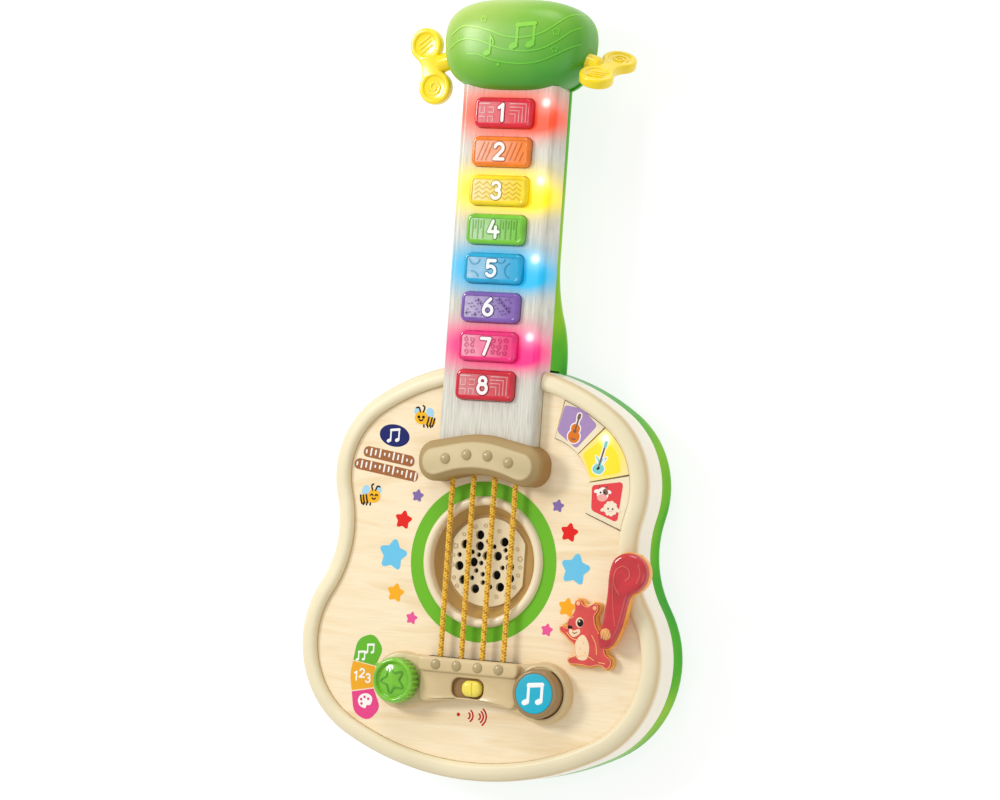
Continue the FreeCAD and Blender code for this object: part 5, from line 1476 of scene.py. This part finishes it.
def mode_prints(white):
    for name, colour, corners in MODE_PATCHES:
        outline = rounded(corners, 5)
        if sum(a[0] * b[1] - b[0] * a[1] for a, b in zip(outline, outline[1:] + outline[:1])) < 0:
            outline = outline[::-1]
        printed("mode_" + name, [outline], ink("mode_" + name, colour), 1)
    shape = Shape()
    for x, y, size in MODE_NOTES:
        beamed_notes(shape, (x, y), size, FACE_Z, FACE_Z + 2 * PRINT, line=0.16)
    for digit, place in MODE_DIGITS:
        glyph(shape, digit, place, 5.6, 1.0, FACE_Z, FACE_Z + 2 * PRINT)
    shape.plate(smooth([(-65.4, -184.4), (-66.2, -188.4), (-68.6, -189.0), (-69.6, -190.8), (-73.2, -189.6),
                        (-74.6, -186.2), (-72.6, -183.0), (-68.4, -182.2)][::-1], 5), FACE_Z, FACE_Z + 2 * PRINT)
    make("mode_pictures", shape, white, "guitar")
    holes = [disc(place, 0.8, 12) for place in moved([(-2.6, 0.8), (-0.5, 2.3), (2.0, 1.4), (-2.2, -1.7)], PALETTE)]
    printed("palette_paints", holes, ink("palette_pink", hue(226, 60, 130)), 3)


def volume_prints():
    """A dot, two sound waves and three sound waves below the slider."""
    red = ink("volume_red", hue(196, 26, 44))
    printed("volume_dot", [disc((-8.9, -189.0), 1.1, 16)], red, 1)
    paths = []
    for x, count in ((-3.4, 2), (3.2, 3)):
        for index in range(count):
            paths.append(arc((x, -189.2), 2.0 + 1.9 * index, -52, 52, 10))
    printed_lines("volume_waves", paths, 1.05, red, 1)


# ---------------------------------------------------------------- all materials

def cream_with_painted_light():
    """Cream plastic with painted shade in the groove beside the face panel and a painted highlight on the outer wall.
    """
    finish = Finish("cream_plastic", specular=0.3)
    height = finish.spread(finish.axis("Z"), FACE_Z - 5, FACE_Z + 5)
    drift = finish.spread(finish.noise(0.03, detail=3.0), 0.3, 0.7, 0.96, 1.03)
    # Painted light by height: the outer wall below the face is paler, the groove at the face's level darker tan.
    cream = finish.ramp(height, [(0.0, hue(250, 242, 224)), (0.5, hue(220, 194, 144)), (0.72, hue(238, 225, 188)),
                                 (1.0, hue(238, 226, 192))])
    finish.colour(finish.mix(1.0, cream, drift, "MULTIPLY"))
    grain = finish.noise(1.4, detail=4.0)
    return finish.done(grain, 0.3, 0.42, 0.04, 0.05)


def shell_material():
    """See-through green: yellow-green and deep green in broad drifting areas, a little yellower towards the head."""
    finish = Finish("shell_green", specular=0.04)
    drift = finish.noise((0.008, 0.014, 0.02), detail=2.0)
    cloud = finish.plus(drift, finish.spread(finish.axis("Y"), -20, 180, 0.0, 0.12))
    finish.colour(finish.ramp(cloud, [(0.36, hue(30, 156, 12)), (0.52, hue(72, 176, 10)), (0.7, hue(142, 196, 18))]))
    grain = finish.noise(2.0, detail=3.0)
    return finish.done(grain, 0.16, 0.26, 0.03, 0.04)


BRONZE = hue(152, 122, 78)
add_camera()
add_studio()
TAN = plastic("bridge_tan", hue(214, 190, 142), 0.3, coat=0.15)
TAN_DARK = plastic("tan_shadow", hue(150, 112, 62), 0.5)
BRONZE_PLASTIC = plastic("bronze_plastic", BRONZE, 0.32, coat=0.2)
PALE_LINE = plastic("pale_line", hue(250, 190, 120), 0.3)
AMBER = clear_plastic("amber_clear", hue(250, 176, 62))
MATERIALS = {
    "shell_green": shell_material(), "cream_plastic": cream_with_painted_light(), "maple_ply": wood(), "tan_plastic": TAN_DARK,
    "milky_plastic": neck_material(), "bronze_plastic": plastic("cup_bronze", hue(186, 150, 86), 0.3, coat=0.2),
    "string_gold": string_material("cord_gold", hue(240, 190, 40), hue(200, 130, 20)),
    "led_clear": clear_plastic("led_clear", hue(240, 240, 235), clear=0.6),
    "paper_black": plastic("paper_black", hue(36, 34, 34), 0.8, texture=0.2)}
for slot, name, colour, rough in (
        ("grille_cream", "speaker_cream", (238, 216, 188), 0.5), ("peg_yellow", "clip_yellow", (250, 214, 12), 0.3),
        ("slider_yellow", "slide_yellow", (248, 226, 84), 0.3), ("disc_blue", "disc_turquoise", (16, 176, 206), 0.3),
        ("key_cream", "key_cream", (238, 224, 190), 0.36), ("acorn_tan", "acorn_tan", (226, 158, 69), 0.35),
        ("board_green", "board_green", (30, 110, 60), 0.5), ("switch_black", "switch_black", (40, 40, 44), 0.5),
        ("rubber_grey", "rubber_grey", (150, 150, 148), 0.7)):
    MATERIALS[slot] = plastic(name, hue(*colour), rough)
for slot, name, colour in (("head_green", "head_back", (110, 186, 52)),
                           ("dial_green", "dial_clip_green", (110, 190, 40)),
                           ("lever_orange", "lever_orange", (236, 120, 62)),
                           ("squirrel_red", "squirrel_clear", (224, 86, 76))):
    MATERIALS[slot] = clear_plastic(name, hue(*colour))
for name, colour, rough in (("steel", (190, 190, 192), 0.3), ("magnet_iron", (120, 120, 124), 0.4),
                            ("cell_metal", (170, 150, 90), 0.3)):
    MATERIALS[name] = metal(name, hue(*colour), rough)
for slot, colour in zip(BUTTON_SLOTS, BUTTON_HUES):
    MATERIALS[slot] = clear_plastic(slot, colour)

# ---------------------------------------------------------------- the object

number_buttons()
head_cap()
tuning_pegs()
string_nut(nut_tan_with_painted_light())
strings()
bridge(TAN, TAN_DARK)
mode_dial()
volume_slider()
music_button(BRONZE_PLASTIC)
speaker_grille()
squirrel(AMBER, PALE_LINE)
tail_lever(AMBER, PALE_LINE)
key_label("mode_key_1", hue(234, 72, 78), animals)
key_label("mode_key_2", hue(255, 222, 40), electric_guitar, True)
key_label("mode_key_3", hue(172, 142, 192), acoustic_guitar)
sound_hole_lip()
PRINT_WHITE = ink("print_white", hue(252, 250, 246))
BEE_INKS = [ink("bee_yellow", hue(248, 186, 34)), ink("bee_black", hue(28, 24, 26)),
            ink("bee_wing", hue(170, 216, 240))]
bee((-46.4, -18.9), -1, BEE_INKS)
bee((-73.6, -66.6), 1, BEE_INKS)
sound_hole_prints()
title_prints(PRINT_WHITE)
mode_prints(PRINT_WHITE)
volume_prints()

LIT_KEY = lit_key("key_lit", hue(238, 224, 190), True)
for entry in frame["record"]["subparts"]:
    node = frame["nodes"][entry["node"]]
    node.data.materials.clear()
    node.data.materials.append(LIT_KEY if entry["node"] == "mode_key_2" else MATERIALS[entry["material_slot"]])

bpy.context.view_layer.update()
